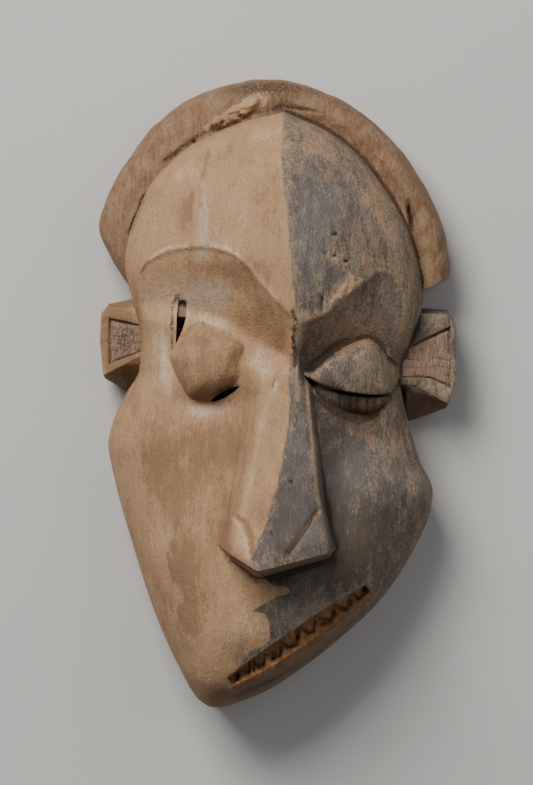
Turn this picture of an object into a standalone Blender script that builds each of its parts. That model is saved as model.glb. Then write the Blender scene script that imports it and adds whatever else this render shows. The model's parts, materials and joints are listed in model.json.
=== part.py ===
"""A carved wooden face mask, half pale and half dark, lying face up on its flat back rim.

X runs across the face, Y towards the crown and Z out of the face. The tables give places in
millimetres seen from the front: a pair is (height up the face, place) unless its comment says
otherwise. The whole mask is one solid: the face is a surface over its outline, hollowed from the
back, and the hair brim, the ears and the carved cuts are joined to it or taken out of it.
"""
import math

import bmesh
import bpy
import numpy as np

MM = 0.001
# the frame's origin in the tables' plan, so that it lies under the middle of the mask's box
ORIGIN = (-0.3, 0.6)
NODE = "carved_mask"
WOOD_COLOR = (0.46, 0.37, 0.28, 1.0)
WOOD_ROUGHNESS = 0.85

# face outline: (y, x) down the left side and down the right side
LEFT_SIDE = [(134, 3), (129, -18), (115, -46), (96, -63), (62, -73.5), (46, -70), (25, -66), (11, -66.5),
             (0, -72.5), (-14, -79), (-24, -81.3), (-40, -78.6), (-73, -69.5), (-108, -57.8), (-135, -45.2),
             (-146, -38.3), (-149.8, -33)]
RIGHT_SIDE = [(134, 3), (124, 25), (107, 44), (70, 65), (46, 69.3), (6, 59), (-14, 62.4), (-32, 67.8),
              (-48, 74.2), (-58, 72.5), (-78, 63.4), (-98, 50), (-116, 31.4), (-134, 8), (-142.5, -5.8),
              (-149.8, -24)]
CROWN = 134.0
CHIN = -149.8
# middle line of the face (y, x), its height above the rim (y, z) and the height at the outline (y, z)
KEEL = [(134, 3), (90, 5.4), (16, 9.5), (-17, 6.3), (-80, -9), (-130, -23), (-150, -29)]
KEEL_HEIGHT = [(134, 50), (120, 66), (100, 79), (80, 87), (60, 90.5), (40, 89), (14, 78), (0, 73),
               (-30, 72), (-60, 76), (-85, 82), (-110, 81), (-128, 75), (-142, 64), (-150, 54)]
EDGE_HEIGHT = [(134, 48), (50, 44), (20, 42), (-50, 40), (-120, 46), (-150, 50)]
EDGE_ROLL = 12.0
FACE_CENTRE = (-4.0, -12.0)
# how the face falls from its middle line to its outline: a power of the share of the way out, and a
# straight crease in the forehead and the chin; each is (lowest y, highest y, change)
FULLNESS = 2.1
JAW_FULLNESS = (0.0, -60.0, 0.5)
FOREHEAD_CREASE = (0.0, 30.0, 0.5)
CHIN_CREASE = (-60.0, -110.0, 0.12)
# swellings and hollows of the cheeks: centre, radii, turn in degrees, height
MOUNDS = (((-26, -22), (13, 26), 8, -4.0), ((29, -38), (11, 30), -8, -6.0), ((56, -48), (20, 12), -10, 3.0),
          ((-66, -24), (16, 14), 0, 2.5), ((-36, -8), (20, 8), -10, -3.0))
WALL_TAPER = 3.0
RIM_THICKNESS = 13.0
FACE_THICKNESS = 15.0
HOLLOW_FULLNESS = 2.6
THIN_WALL = 8.0
THIN_REACH = (5.0, 10.0)
HOLLOW_BLEND = 8.0
PAST = 3.0

# brow lines and the floors of the sockets below them: (x, y)
BROW_LEFT = [(-70, 50), (-61, 62.5), (-50, 67), (-37, 68.5), (-24, 66), (-15, 60), (-9, 52), (0, 42), (6, 35)]
BROW_RIGHT = [(10, 32), (22, 36.5), (28, 41), (36, 48), (42, 53), (48, 57), (54, 55.8), (58, 50), (62, 38)]
FLOOR_LEFT = [(-70, 42), (-55, 42), (-40, 38), (-30, 35), (-10, 23), (0, 18), (9, 15)]
FLOOR_RIGHT = [(8, 14), (14, 9.5), (25, 17.5), (34, 23), (42, 25.5), (47, 23), (53, 16), (62, 6)]
# depth of the sockets: (x, depth), where they start and end, and the ridge between them
SOCKET_LEFT = [(-70, 1), (-60, 4), (-45, 7), (-30, 9), (-15, 11), (0, 12), (9, 10)]
SOCKET_RIGHT = [(8, 9), (14, 11), (25, 11), (38, 9), (50, 7), (62, 4)]
SOCKET_LEFT_START = (-71.0, -62.0)
SOCKET_LEFT_END = (3.0, 7.0, 0.75)
SOCKET_RIGHT_START = (8.5, 14.0)
SOCKET_RIGHT_END = (59.0, 63.0)
RIDGE_SHIFT = 1.6
SOCKET_FALL = 0.8
SOCKET_FOOT = (0.9, 1.45)

# nose: its edges, foot lines (y, x), and how far it stands out of the face (y, rise)
NOSE_EDGE_LEFT = [(15, -3), (3.5, -7.6), (-27, -13.2), (-50, -17.8), (-60, -21), (-84, -23)]
NOSE_KEEL = [(15, 8.8), (-17, 6.3), (-50, -1.6), (-70, -6.2), (-84, -9.6)]
NOSE_EDGE_RIGHT = [(15, 12.6), (-27, 17), (-50, 19.3), (-60, 22.2), (-84, 25)]
NOSE_FOOT_LEFT = [(15, -14), (-10, -17), (-27, -19.5), (-45, -22.5), (-56, -24), (-62, -25.5), (-71, -28.2),
                  (-84, -29)]
NOSE_FOOT_RIGHT = [(15, 14.5), (-27, 19.5), (-57, 23), (-76, 27), (-84, 27.5)]
NOSE_RISE = [(20, -2), (15, 1.5), (8, 5), (0, 9), (-27, 18), (-50, 26), (-70, 33), (-84, 36)]
NOSE_SHOULDER = 0.79
NOSE_STATIONS = (20, 15, 8, 0, -9, -18, -27, -36, -44, -50, -56, -62, -67)
NOSE_END = ((-28.6, -71), (-22.3, -74.4), (-9.4, -82), (23.6, -74), (27.4, -73))
NOSE_UNDERCUT = 5.0
NOSE_SUNK = 1.5
NOSE_ROOT = 10.0

# left eyelid: a bulging lid of six soft facets
LID_LEFT_CENTRE = (-32.2, 13.1)
LID_LEFT_RADIUS = 18.3
LID_LEFT_HEIGHT = 15.5
LID_LEFT_FACETS = ((141, 17.3), (69, 16.3), (-3, 18.0), (-58, 15.8), (-102, 16.9), (-155, 15.0))
FACET_SOFTNESS = 0.12
FACET_SHARE = 0.75
LID_LEFT_POWERS = (2.5, 0.6)
LID_LEFT_FALL = 80.0
LID_LEFT_FOOT = -4.0
LID_LEFT_BLEND = 0.9
# right eyelid and the cut below it: (x, y), and the lid's height (x, rise)
LID_RIGHT_FOOT = [(12, 8), (23, 2.6), (37, -0.2), (45, -1), (53, 0), (59, 8)]
LID_RIGHT_RISE = [(12, 3), (16, 7), (24, 11), (36, 15), (46, 16), (53, 13.5), (60, 4)]
LID_RIGHT_ENDS = (12.0, 59.5)
LID_RIGHT_POWER = 2.2
LID_RIGHT_EDGE = (0.14, 50.0)
LID_RIGHT_BASE = -8.0
# how steeply the lid goes on falling past its top, and how far
LID_RIGHT_PAST = (0.8, 8.0)
LID_RIGHT_BLEND = 1.2
BELOW_ALL = -30.0
EYE_RIGHT_FLOOR = [(13, 6), (20, -3), (27, -8), (35, -13), (42, -14.5), (48, -11), (56, 2)]
# the cut under the right lid: its ends, steepness and depth, and the eyeball left standing in it,
# whose depth grows with the distance from its middle and below its waist
EYE_RIGHT_ENDS = (13.0, 56.0)
EYE_RIGHT_STEEPNESS = 4.5
EYE_RIGHT_LOWER_BANK = 0.4
EYE_RIGHT_DEPTH = 9.5
EYE_RIGHT_BLEND = 0.6
BALL_DEPTH = 1.2
BALL_MIDDLE = (37.0, -3.5)
BALL_ROUNDNESS = (0.0063, 0.13)

# hair brim: (angle in degrees about its centre, radius), from the right end to the left end
BRIM_CENTRE = (0.0, 40.0)
BRIM_OUTER = [(10.4, 84), (24, 88.2), (42.4, 93.2), (60.3, 100.2), (76.4, 106.6), (94, 111.2), (109.7, 110.4),
              (124.3, 106.6), (135.4, 102), (146.2, 98.8), (154.7, 95.2), (163.8, 82.6), (172, 71)]
BRIM_INSET = 9.0
BRIM_INNER_TURN = (4, 178)
BRIM_OUTER_TURN = (10.4, 172)
BRIM_RIDGE_END = (0.4, 0.6)
# its section: share of the way out, height where plain, height where ridged
BRIM_SECTION = [(0, 37, 33), (0.33, 36, 32), (0.48, 35.5, 33.8), (0.62, 35, 35.6), (0.8, 33, 33.2),
                (0.92, 28.5, 28.5), (1, 20, 20), (0.99, 12, 12), (0.93, 4, 4), (0, 4, 4)]

# ears as frusta: corners of the back face and of the front face (x, y), then their heights
EAR_LEFT_BACK = ((-59, -4), (-73, 0.5), (-83.8, 7), (-85, 24), (-84.1, 39.8), (-81.6, 43), (-59, 47.5))
EAR_LEFT_FRONT = ((-59, 18), (-68, 15.5), (-83.6, 7.8), (-85.4, 24), (-84.7, 37.8), (-81.9, 41), (-59, 39.5))
EAR_RIGHT_BACK = ((55, -16), (66, -13), (81.5, -7.5), (85.2, 6), (84.8, 36), (81.5, 40), (55, 42))
EAR_RIGHT_FRONT = ((55, 4), (66, 3), (81.5, -6), (85.5, 6), (85.2, 33), (82, 37), (55, 39))
EAR_BACK_HEIGHT = 9.0
EAR_FRONT_HEIGHT = 34.0
EAR_LEAN = 0.12
EAR_ROOT = 60.0
RECESS_LEFT = ((-62, 20.5), (-80.8, 13.5), (-80.8, 35.6), (-62, 31.5))
RECESS_RIGHT = ((58, 7), (73, 6.6), (82.4, 2.5), (82.4, 31.5), (58, 20))
RECESS_DEPTH = 1.6
RECESS_CUTTER_TOP = 5.0

# mouth: the slot's two ends, half width and depth, and the gap between its filed teeth (x, y)
MOUTH_START = (-22.5, -136.0)
MOUTH_END = (42.5, -93.0)
MOUTH_HALF_WIDTH = 4.6
MOUTH_DEPTH = 2.6
MOUTH_SAG = 1.5
MOUTH_STATIONS = 13
MOUTH_ENDS_WIDTH = 0.12
TOOTH_GAP_LINE = ((-19.8, -134.8), (-18.4, -131.6), (-14.2, -131.6), (-13.2, -126.9), (-7.6, -129.7),
                  (-6.2, -123.6), (-2.9, -125.5), (0.8, -123.6), (1.3, -117.5), (4.1, -119.8), (8.3, -118.9),
                  (8.3, -112.3), (10.2, -110.9), (14, -113.3), (16.3, -112.3), (17.2, -105.8), (24.8, -108.1),
                  (25.7, -100.6), (32.3, -102.9), (33.7, -96.4), (36, -96.4), (38.8, -98.7), (40.2, -91.2))
TOOTH_GAP = 2.0
TOOTH_GAP_DEPTH = 6.0

# narrow cuts: two ends, a half width and a depth each; three of them go right through the wood
THROUGH = 30.0
SLITS = (("left_slit", (-31.0, -3.8), (-19.0, 2.6), 1.3, THROUGH),
         ("right_slit", (23.0, 1.2), (44.0, -1.9), 0.9, THROUGH),
         ("temple_cut", (-45.3, 43.0), (-45.9, 33.0), 2.2, 3.0),
         ("temple_slot", (-46.0, 34.5), (-48.0, 25.0), 1.4, THROUGH))
SLIT_STATIONS = 4
SLIT_TIP = 0.45
CUTTER_REACH = 12.0
# the block under the rim's plane: half its width and length, and its thickness
RIM_CUTTER = (120.0, 180.0, 20.0)

# how finely the surfaces are laid out
FACE_CELLS = 220
ROLL_RINGS = 8
WALL_RINGS = 3
OUTLINE_SAMPLES = 400
HOLLOW_CELLS = 26
HOLLOW_TURNS = 8
BRIM_STATIONS = 40
FACE_KEEP = 0.048
SHARP_EDGE = 30.0


def smooth_line(table, at):
    """Smooth curve through a table of pairs, with no overshoot between them."""
    pairs = sorted(table)
    knots = np.array([pair[0] for pair in pairs], float)
    values = np.array([pair[1] for pair in pairs], float)
    widths = np.diff(knots)
    slopes = np.diff(values) / widths
    tangents = np.zeros_like(values)
    tangents[0], tangents[-1] = slopes[0], slopes[-1]
    same_way = slopes[:-1] * slopes[1:] > 0
    middle = 2 * slopes[:-1] * slopes[1:] / np.where(same_way, slopes[:-1] + slopes[1:], 1)
    tangents[1:-1] = np.where(same_way, middle, 0)
    at = np.clip(at, knots[0], knots[-1])
    i = np.clip(np.searchsorted(knots, at, side="right") - 1, 0, len(knots) - 2)
    t = (at - knots[i]) / widths[i]
    a = (1 + 2 * t) * (1 - t) ** 2 * values[i] + t * (1 - t) ** 2 * widths[i] * tangents[i]
    return a + t * t * (3 - 2 * t) * values[i + 1] + t * t * (t - 1) * widths[i] * tangents[i + 1]


def step(start, end, at):
    """Smooth step from 0 at start to 1 at end."""
    t = np.clip((at - start) / (end - start), 0, 1)
    return t * t * (3 - 2 * t)


def change(stretch, at):
    """A change that comes in smoothly over a stretch: (start, end, change)."""
    start, end, full = stretch
    return full * step(start, end, at)


def smooth_max(a, b, softness):
    """The larger of two heights, rounded where they cross."""
    blend = np.clip(0.5 + 0.5 * (a - b) / softness, 0, 1)
    return b + (a - b) * blend + softness * blend * (1 - blend)


def smooth_min(a, b, softness):
    """The smaller of two heights, rounded where they cross."""
    return -smooth_max(-a, -b, softness)


def swell(x, y, centre, radii, turn):
    """A soft mound of height 1 at its centre, turned by some degrees."""
    c, s = math.cos(math.radians(turn)), math.sin(math.radians(turn))
    u = (x - centre[0]) * c + (y - centre[1]) * s
    v = (y - centre[1]) * c - (x - centre[0]) * s
    return np.exp(-((u / radii[0]) ** 2 + (v / radii[1]) ** 2))


def plain_face(x, y):
    """The face without its features: a crease on the forehead, full at the jaw."""
    keel, left, right = smooth_line(KEEL, y), smooth_line(LEFT_SIDE, y), smooth_line(RIGHT_SIDE, y)
    half = np.where(x < keel, keel - left, right - keel)
    share = np.clip(np.abs(x - keel) / np.maximum(half, 1), 0, 1)
    top, edge = smooth_line(KEEL_HEIGHT, y), smooth_line(EDGE_HEIGHT, y)
    crease = change(FOREHEAD_CREASE, y) + change(CHIN_CREASE, y)
    fullness = FULLNESS + change(JAW_FULLNESS, y)
    return edge + (top - edge) * ((1 - crease) * (1 - share ** fullness) + crease * (1 - share))


def socket(x, y, brow, floor, depth):
    """How far an eye socket lies below the face: nothing at the brow, deepest at its floor."""
    top, low = smooth_line(brow, x), smooth_line(floor, x)
    t = (top - y) / np.maximum(top - low, 4)
    fall = np.clip(t, 0, SOCKET_FOOT[1]) ** SOCKET_FALL * (1 - step(*SOCKET_FOOT, t))
    return smooth_line(depth, x) * fall


def left_lid(x, y):
    """Height of the left eyelid above the face: a dome with six soft facets."""
    dx, dy = x - LID_LEFT_CENTRE[0], y - LID_LEFT_CENTRE[1]
    facets = np.full_like(x, -1.0)
    for turn, reach in LID_LEFT_FACETS:
        angle = math.radians(turn)
        facet = (dx * math.cos(angle) + dy * math.sin(angle)) / reach
        facets = smooth_max(facets, facet, FACET_SOFTNESS)
    away = FACET_SHARE * facets + (1 - FACET_SHARE) * np.hypot(dx, dy) / LID_LEFT_RADIUS
    inner, outer = LID_LEFT_POWERS
    dome = (1 - np.clip(away, 0, 1) ** inner) ** outer
    return LID_LEFT_HEIGHT * dome - LID_LEFT_FALL * np.clip(away - 1, 0, 1)


def right_lid(x, y):
    """Height of the right eyelid above the face: a hood with its foot at the slit."""
    foot, top = smooth_line(LID_RIGHT_FOOT, x), smooth_line(FLOOR_RIGHT, x)
    t = (y - foot) / np.maximum(top - foot, 1)
    hood = smooth_line(LID_RIGHT_RISE, x) * np.sqrt(1 - np.clip(t, 0, 1) ** LID_RIGHT_POWER)
    edge, drop = LID_RIGHT_EDGE
    hood = hood - drop * np.clip(edge - t, 0, 1) ** 2
    first, last = LID_RIGHT_ENDS
    fall, reach = LID_RIGHT_PAST
    hood = hood - fall * np.clip(y - top, 0, None)
    return np.where((t > 0) & (y < top + reach) & (x > first) & (x < last), hood, BELOW_ALL)


def right_eye_cut(x, y):
    """Depth of the cut under the right lid, with the eyeball left standing in it."""
    foot, floor = smooth_line(LID_RIGHT_FOOT, x), smooth_line(EYE_RIGHT_FLOOR, x)
    inside = np.clip(np.minimum(foot - y, (y - floor) * EYE_RIGHT_LOWER_BANK), 0, None)
    below_waist = np.clip(BALL_MIDDLE[1] - y, 0, EYE_RIGHT_DEPTH)
    ball = -BALL_DEPTH - BALL_ROUNDNESS[0] * (x - BALL_MIDDLE[0]) ** 2 - BALL_ROUNDNESS[1] * below_waist ** 2
    banks = -np.clip(inside * EYE_RIGHT_STEEPNESS, 0, EYE_RIGHT_DEPTH)
    cut = smooth_max(banks, ball, EYE_RIGHT_BLEND)
    first, last = EYE_RIGHT_ENDS
    return np.where((inside > 0) & (x > first) & (x < last), cut, 0)


def face_height(x, y):
    """Height of the carved face above the rim, without the rounding at its outline."""
    z = plain_face(x, y)
    on_left = x < smooth_line(KEEL, y) - RIDGE_SHIFT
    across = step(*SOCKET_LEFT_START, x) * (1 - change(SOCKET_LEFT_END, x))
    sink_left = socket(x, y, BROW_LEFT, FLOOR_LEFT, SOCKET_LEFT) * across
    across = step(*SOCKET_RIGHT_START, x) * (1 - step(*SOCKET_RIGHT_END, x))
    sink_right = socket(x, y, BROW_RIGHT, FLOOR_RIGHT, SOCKET_RIGHT) * across
    z = z - np.where(on_left, sink_left, sink_right)
    for centre, radii, turn, height in MOUNDS:
        z = z + height * swell(x, y, centre, radii, turn)
    lid_x, lid_y = np.full_like(x, LID_LEFT_CENTRE[0]), np.full_like(y, LID_LEFT_CENTRE[1])
    z = smooth_max(z, plain_face(lid_x, lid_y) + LID_LEFT_FOOT + left_lid(x, y), LID_LEFT_BLEND)
    z = z + right_eye_cut(x, y)
    return smooth_max(z, plain_face(x, y) + LID_RIGHT_BASE + right_lid(x, y), LID_RIGHT_BLEND)


def outline_radius(angle, centre):
    """Distance from a centre to the face's outline in each direction."""
    y = CROWN + (CHIN - CROWN) * (0.5 - 0.5 * np.cos(np.linspace(0, math.pi, OUTLINE_SAMPLES)))
    x = np.concatenate([smooth_line(LEFT_SIDE, y), smooth_line(RIGHT_SIDE, y)[::-1]])
    y = np.concatenate([y, y[::-1]])
    turns = np.arctan2(y - centre[1], x - centre[0])
    order = np.argsort(turns)
    radii = np.hypot(x - centre[0], y - centre[1])[order]
    return np.interp(angle, turns[order], radii, period=2 * math.pi)


def worn_height(x, y):
    """Height of the face with the rounding at its outline, which is a quarter circle."""
    dx, dy = x - FACE_CENTRE[0], y - FACE_CENTRE[1]
    inside = outline_radius(np.arctan2(dy, dx), FACE_CENTRE) - np.hypot(dx, dy)
    past_roll = 1 - np.clip(inside / EDGE_ROLL, 0, 1)
    return face_height(x, y) - EDGE_ROLL * (1 - np.sqrt(1 - past_roll ** 2))


def disc_grid(cells):
    """A square grid laid on a disc in rings: the share of the way out and the angle."""
    line = np.linspace(-1, 1, cells + 1)
    u, v = np.meshgrid(line, line)
    ring = np.maximum(np.abs(u), np.abs(v))
    level = np.abs(u) >= np.abs(v)
    ahead = np.where(level, u, v)
    share = np.where(level, v, u) / np.where(ahead == 0, 1, ahead)
    turn = np.where(level, share, 2 - share) * math.pi / 4
    return ring, np.where(ahead < 0, turn + math.pi, turn)


def new_object(name, points, faces):
    """A closed solid from points in millimetres and faces, in triangles with outward normals."""
    mesh = bpy.data.meshes.new(name)
    placed = [((x - ORIGIN[0]) * MM, (y - ORIGIN[1]) * MM, z * MM) for x, y, z in points]
    mesh.from_pydata(placed, [], faces)
    made = bpy.data.objects.new(name, mesh)
    bpy.context.collection.objects.link(made)
    shape = bmesh.new()
    shape.from_mesh(mesh)
    bmesh.ops.triangulate(shape, faces=shape.faces)
    bmesh.ops.recalc_face_normals(shape, faces=shape.faces)
    shape.to_mesh(mesh)
    shape.free()
    return made


def solid_over_disc(name, x, y, z):
    """A closed solid from a square grid of points, its border joined by a fan to one centre."""
    number = np.arange(x.size).reshape(x.shape)
    corners = (number[:-1, :-1], number[:-1, 1:], number[1:, 1:], number[1:, :-1])
    faces = np.stack(corners, -1).reshape(-1, 4).tolist()
    border = np.concatenate([number[0, :-1], number[:-1, -1], number[-1, :0:-1], number[:0:-1, 0]])
    points = np.stack([x.ravel(), y.ravel(), z.ravel()], -1).tolist()
    centre = len(points)
    points.append([float(x.flat[border].mean()), float(y.flat[border].mean()), float(z.flat[border[0]])])
    faces += [[int(a), int(b), centre] for a, b in zip(border, np.roll(border, -1))]
    return new_object(name, points, faces)


def loft(name, rings):
    """A closed solid through rings of equally many points, capped at both ends."""
    count = len(rings[0])
    points = [point for ring in rings for point in ring]
    faces = [list(range(count)), list(range(len(points) - count, len(points)))]
    for base in range(0, len(points) - count, count):
        for i in range(count):
            j = (i + 1) % count
            faces.append([base + i, base + j, base + count + j, base + count + i])
    return new_object(name, points, faces)


def face_block():
    """The face, its rounded outline and its side wall, down past the rim's plane."""
    ring, angle = disc_grid(FACE_CELLS)
    reach = outline_radius(angle, FACE_CENTRE)
    rings = FACE_CELLS // 2
    flat = rings - ROLL_RINGS - WALL_RINGS
    number = ring * rings
    turn = np.clip((number - flat) / ROLL_RINGS, 0, 1) * math.pi / 2
    down = np.clip((number - flat - ROLL_RINGS) / WALL_RINGS, 0, 1)
    out = (reach - EDGE_ROLL) * np.clip(number / flat, 0, 1) + EDGE_ROLL * np.sin(turn)
    x, y = FACE_CENTRE[0] + out * np.cos(angle), FACE_CENTRE[1] + out * np.sin(angle)
    z = face_height(x, y) - EDGE_ROLL * (1 - np.cos(turn))
    x, y = x - WALL_TAPER * down * np.cos(angle), y - WALL_TAPER * down * np.sin(angle)
    block = solid_over_disc(NODE, x, y, z * (1 - down) - PAST * down)
    thin = block.modifiers.new("fewer faces", "DECIMATE")
    thin.ratio = FACE_KEEP
    return block


def hollow():
    """The hollow behind the face: a smooth dome a wall's thickness inside the carving."""
    ring, angle = disc_grid(HOLLOW_CELLS)
    out = (outline_radius(angle, FACE_CENTRE) - RIM_THICKNESS - WALL_TAPER) * np.sin(ring * math.pi / 2)
    x, y = FACE_CENTRE[0] + out * np.cos(angle), FACE_CENTRE[1] + out * np.sin(angle)
    dome = (smooth_line(KEEL_HEIGHT, y) - FACE_THICKNESS) * np.sqrt(1 - ring ** HOLLOW_FULLNESS)
    lowest = worn_height(x, y)
    for turn in np.arange(HOLLOW_TURNS) * 2 * math.pi / HOLLOW_TURNS:
        for reach in THIN_REACH:
            near = worn_height(x + reach * math.cos(turn), y + reach * math.sin(turn))
            lowest = np.minimum(lowest, near)
    z = np.where(ring < 1, smooth_min(dome, lowest - THIN_WALL, HOLLOW_BLEND), -2 * PAST)
    return solid_over_disc("hollow_cutter", x, y, z)


def nose():
    """The nose: four long planes over a foot sunk in the face, cut off below in a V."""
    lines = (NOSE_FOOT_LEFT, NOSE_EDGE_LEFT, NOSE_KEEL, NOSE_EDGE_RIGHT, NOSE_FOOT_RIGHT)
    levels = np.array([0.0, NOSE_SHOULDER, 1.0, NOSE_SHOULDER, 0.0])
    places = [([smooth_line(line, np.array(float(y))) for line in lines], [y] * 5) for y in NOSE_STATIONS]
    places += [([x for x, _ in NOSE_END], [y for _, y in NOSE_END])]
    rings = []
    for xs, ys in places:
        x, y = np.array(xs, float), np.array(ys, float)
        z = face_height(x, y) + levels * smooth_line(NOSE_RISE, y) - NOSE_SUNK * (levels == 0)
        rings.append(np.stack([x, y, z], -1))
    under = rings[-1].copy()
    under[:, 1] -= levels * NOSE_UNDERCUT
    under[:, 2] = face_height(under[:, 0], under[:, 1]) - NOSE_SUNK
    rings.append(under)
    solid = []
    for ring in rings:
        feet = ring[[4, 0]] - np.array([0, 0, NOSE_ROOT])
        solid.append([tuple(point) for point in np.concatenate([ring, feet])])
    return loft("nose", solid)


def hair_brim():
    """The hair standing up behind the forehead: flat on the left, ridged on the right."""
    rings = []
    for t in np.linspace(0, 1, BRIM_STATIONS):
        turns = [a + (b - a) * t for a, b in (BRIM_INNER_TURN, BRIM_OUTER_TURN)]
        inner_turn, outer_turn = (math.radians(turn) for turn in turns)
        inner = outline_radius(np.array([inner_turn]), BRIM_CENTRE)[0] - BRIM_INSET
        outer = float(smooth_line(BRIM_OUTER, np.array([math.degrees(outer_turn)]))[0])
        ridged = float(1 - step(*BRIM_RIDGE_END, np.array(t)))
        ring = []
        for share, plain, with_ridge in BRIM_SECTION:
            spot = []
            for place, cx in ((math.cos, BRIM_CENTRE[0]), (math.sin, BRIM_CENTRE[1])):
                start, end = cx + inner * place(inner_turn), cx + outer * place(outer_turn)
                spot.append(start + (end - start) * share)
            ring.append([spot[0], spot[1], plain + (with_ridge - plain) * ridged])
        rings.append(ring)
    return loft("hair_brim", rings)


def ear_front(x):
    """Height of an ear's front face, which leans back away from the head."""
    return EAR_FRONT_HEIGHT - EAR_LEAN * (abs(x) - EAR_ROOT)


def ear(name, back, front):
    """An ear: a block with a slanted underside, wider at its outer edge than at the head."""
    return loft(name, [[(x, y, EAR_BACK_HEIGHT) for x, y in back], [(x, y, ear_front(x)) for x, y in front]])


def ear_recess(name, corners):
    """The flat recess cut into the front of an ear."""
    levels = (-RECESS_DEPTH, RECESS_CUTTER_TOP)
    return loft(name, [[(x, y, ear_front(x) + level) for x, y in corners] for level in levels])


def cut_along(name, left, right, depth):
    """A cutter that follows the face at some depth between two lines of (x, y) places."""
    rings = []
    for (xa, ya), (xb, yb) in zip(left, right):
        middle = face_height(np.array([(xa + xb) / 2]), np.array([(ya + yb) / 2]))[0]
        low, high = middle - depth, middle + CUTTER_REACH
        rings.append([(xa, ya, low), (xb, yb, low), (xb, yb, high), (xa, ya, high)])
    return loft(name, rings)


def straight_slit(name, ends, half_width, depth):
    """A slit with pointed ends between two places."""
    (xa, ya), (xb, yb) = ends
    length = math.hypot(xb - xa, yb - ya)
    across = (-(yb - ya) / length, (xb - xa) / length)
    left, right = [], []
    for i in range(SLIT_STATIONS):
        t = i / (SLIT_STATIONS - 1)
        half = half_width * (SLIT_TIP if i in (0, SLIT_STATIONS - 1) else 1.0)
        x, y = xa + (xb - xa) * t, ya + (yb - ya) * t
        left.append((x + across[0] * half, y + across[1] * half))
        right.append((x - across[0] * half, y - across[1] * half))
    return cut_along(name, left, right, depth)


def mouth_place(along, across):
    """A place in the mouth: along its slot and across it, towards the nose."""
    (xa, ya), (xb, yb) = MOUTH_START, MOUTH_END
    length = math.hypot(xb - xa, yb - ya)
    c, s = (xb - xa) / length, (yb - ya) / length
    return xa + along * c - across * s, ya + along * s + across * c


def mouth_cutters():
    """The mouth: a shallow slanting slot, and the deep gap between its filed teeth."""
    length = math.dist(MOUTH_START, MOUTH_END)
    upper, lower = [], []
    for i in range(MOUTH_STATIONS):
        along = length * i / (MOUTH_STATIONS - 1)
        share = MOUTH_ENDS_WIDTH + (1 - 2 * MOUTH_ENDS_WIDTH) * i / (MOUTH_STATIONS - 1)
        fullness = math.sin(math.pi * share) ** 0.5
        upper.append(mouth_place(along, MOUTH_HALF_WIDTH * fullness))
        lower.append(mouth_place(along, -MOUTH_HALF_WIDTH * fullness - MOUTH_SAG * fullness ** 4))
    slot = cut_along("mouth_cutter", upper, lower, MOUTH_DEPTH)
    middle = mouth_place(0, 0)
    edge = mouth_place(0, TOOTH_GAP / 2)
    dx, dy = edge[0] - middle[0], edge[1] - middle[1]
    before = [(x + dx, y + dy) for x, y in TOOTH_GAP_LINE]
    after = [(x - dx, y - dy) for x, y in TOOTH_GAP_LINE]
    return slot, cut_along("teeth_cutter", before, after, TOOTH_GAP_DEPTH)


def below_rim():
    """A block under the rim's plane, which trims the back flat."""
    x, y, thick = RIM_CUTTER
    outline = ((-x, -y), (x, -y), (x, y), (-x, y))
    return loft("rim_cutter", [[(a, b, -thick) for a, b in outline], [(a, b, 0.0) for a, b in outline]])


def apply_to(target, other, operation):
    """Joins another solid to the mask, or cuts it out, and keeps it only as a guide."""
    boolean = target.modifiers.new(other.name, "BOOLEAN")
    boolean.operation = operation
    boolean.solver = "EXACT"
    boolean.object = other
    other.hide_render = True
    other.display_type = "WIRE"


def wood():
    """Plain painted wood."""
    material = bpy.data.materials.new("painted_wood")
    material.use_nodes = True
    shader = material.node_tree.nodes["Principled BSDF"]
    shader.inputs["Base Color"].default_value = WOOD_COLOR
    shader.inputs["Roughness"].default_value = WOOD_ROUGHNESS
    shader.inputs["Metallic"].default_value = 0.0
    return material


def build():
    """Builds the mask."""
    for old in list(bpy.data.objects):
        bpy.data.objects.remove(old)
    mask = face_block()
    for added in (nose(), hair_brim(), ear("left_ear", EAR_LEFT_BACK, EAR_LEFT_FRONT),
                  ear("right_ear", EAR_RIGHT_BACK, EAR_RIGHT_FRONT)):
        apply_to(mask, added, "UNION")
    cutters = [hollow(), ear_recess("left_recess", RECESS_LEFT), ear_recess("right_recess", RECESS_RIGHT)]
    cutters += [straight_slit(name, (a, b), half, depth) for name, a, b, half, depth in SLITS]
    cutters += [*mouth_cutters(), below_rim()]
    for cutter in cutters:
        apply_to(mask, cutter, "DIFFERENCE")
    mask.data.materials.append(wood())
    mask.data.polygons.foreach_set("use_smooth", [True] * len(mask.data.polygons))
    mask.data.set_sharp_from_angle(angle=math.radians(SHARP_EDGE))


build()
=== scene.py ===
"""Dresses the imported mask: one carved, painted and worn piece of wood, with its light and camera.

The mask lies face up: X across the face, Y towards the crown, Z out of it. Shapes are worked out in
millimetres seen from the front, over the plane of the flat back rim, and put into the mesh in metres.
"""
import json
import logging
import math
from dataclasses import dataclass
from enum import Enum
from typing import Sequence

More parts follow.
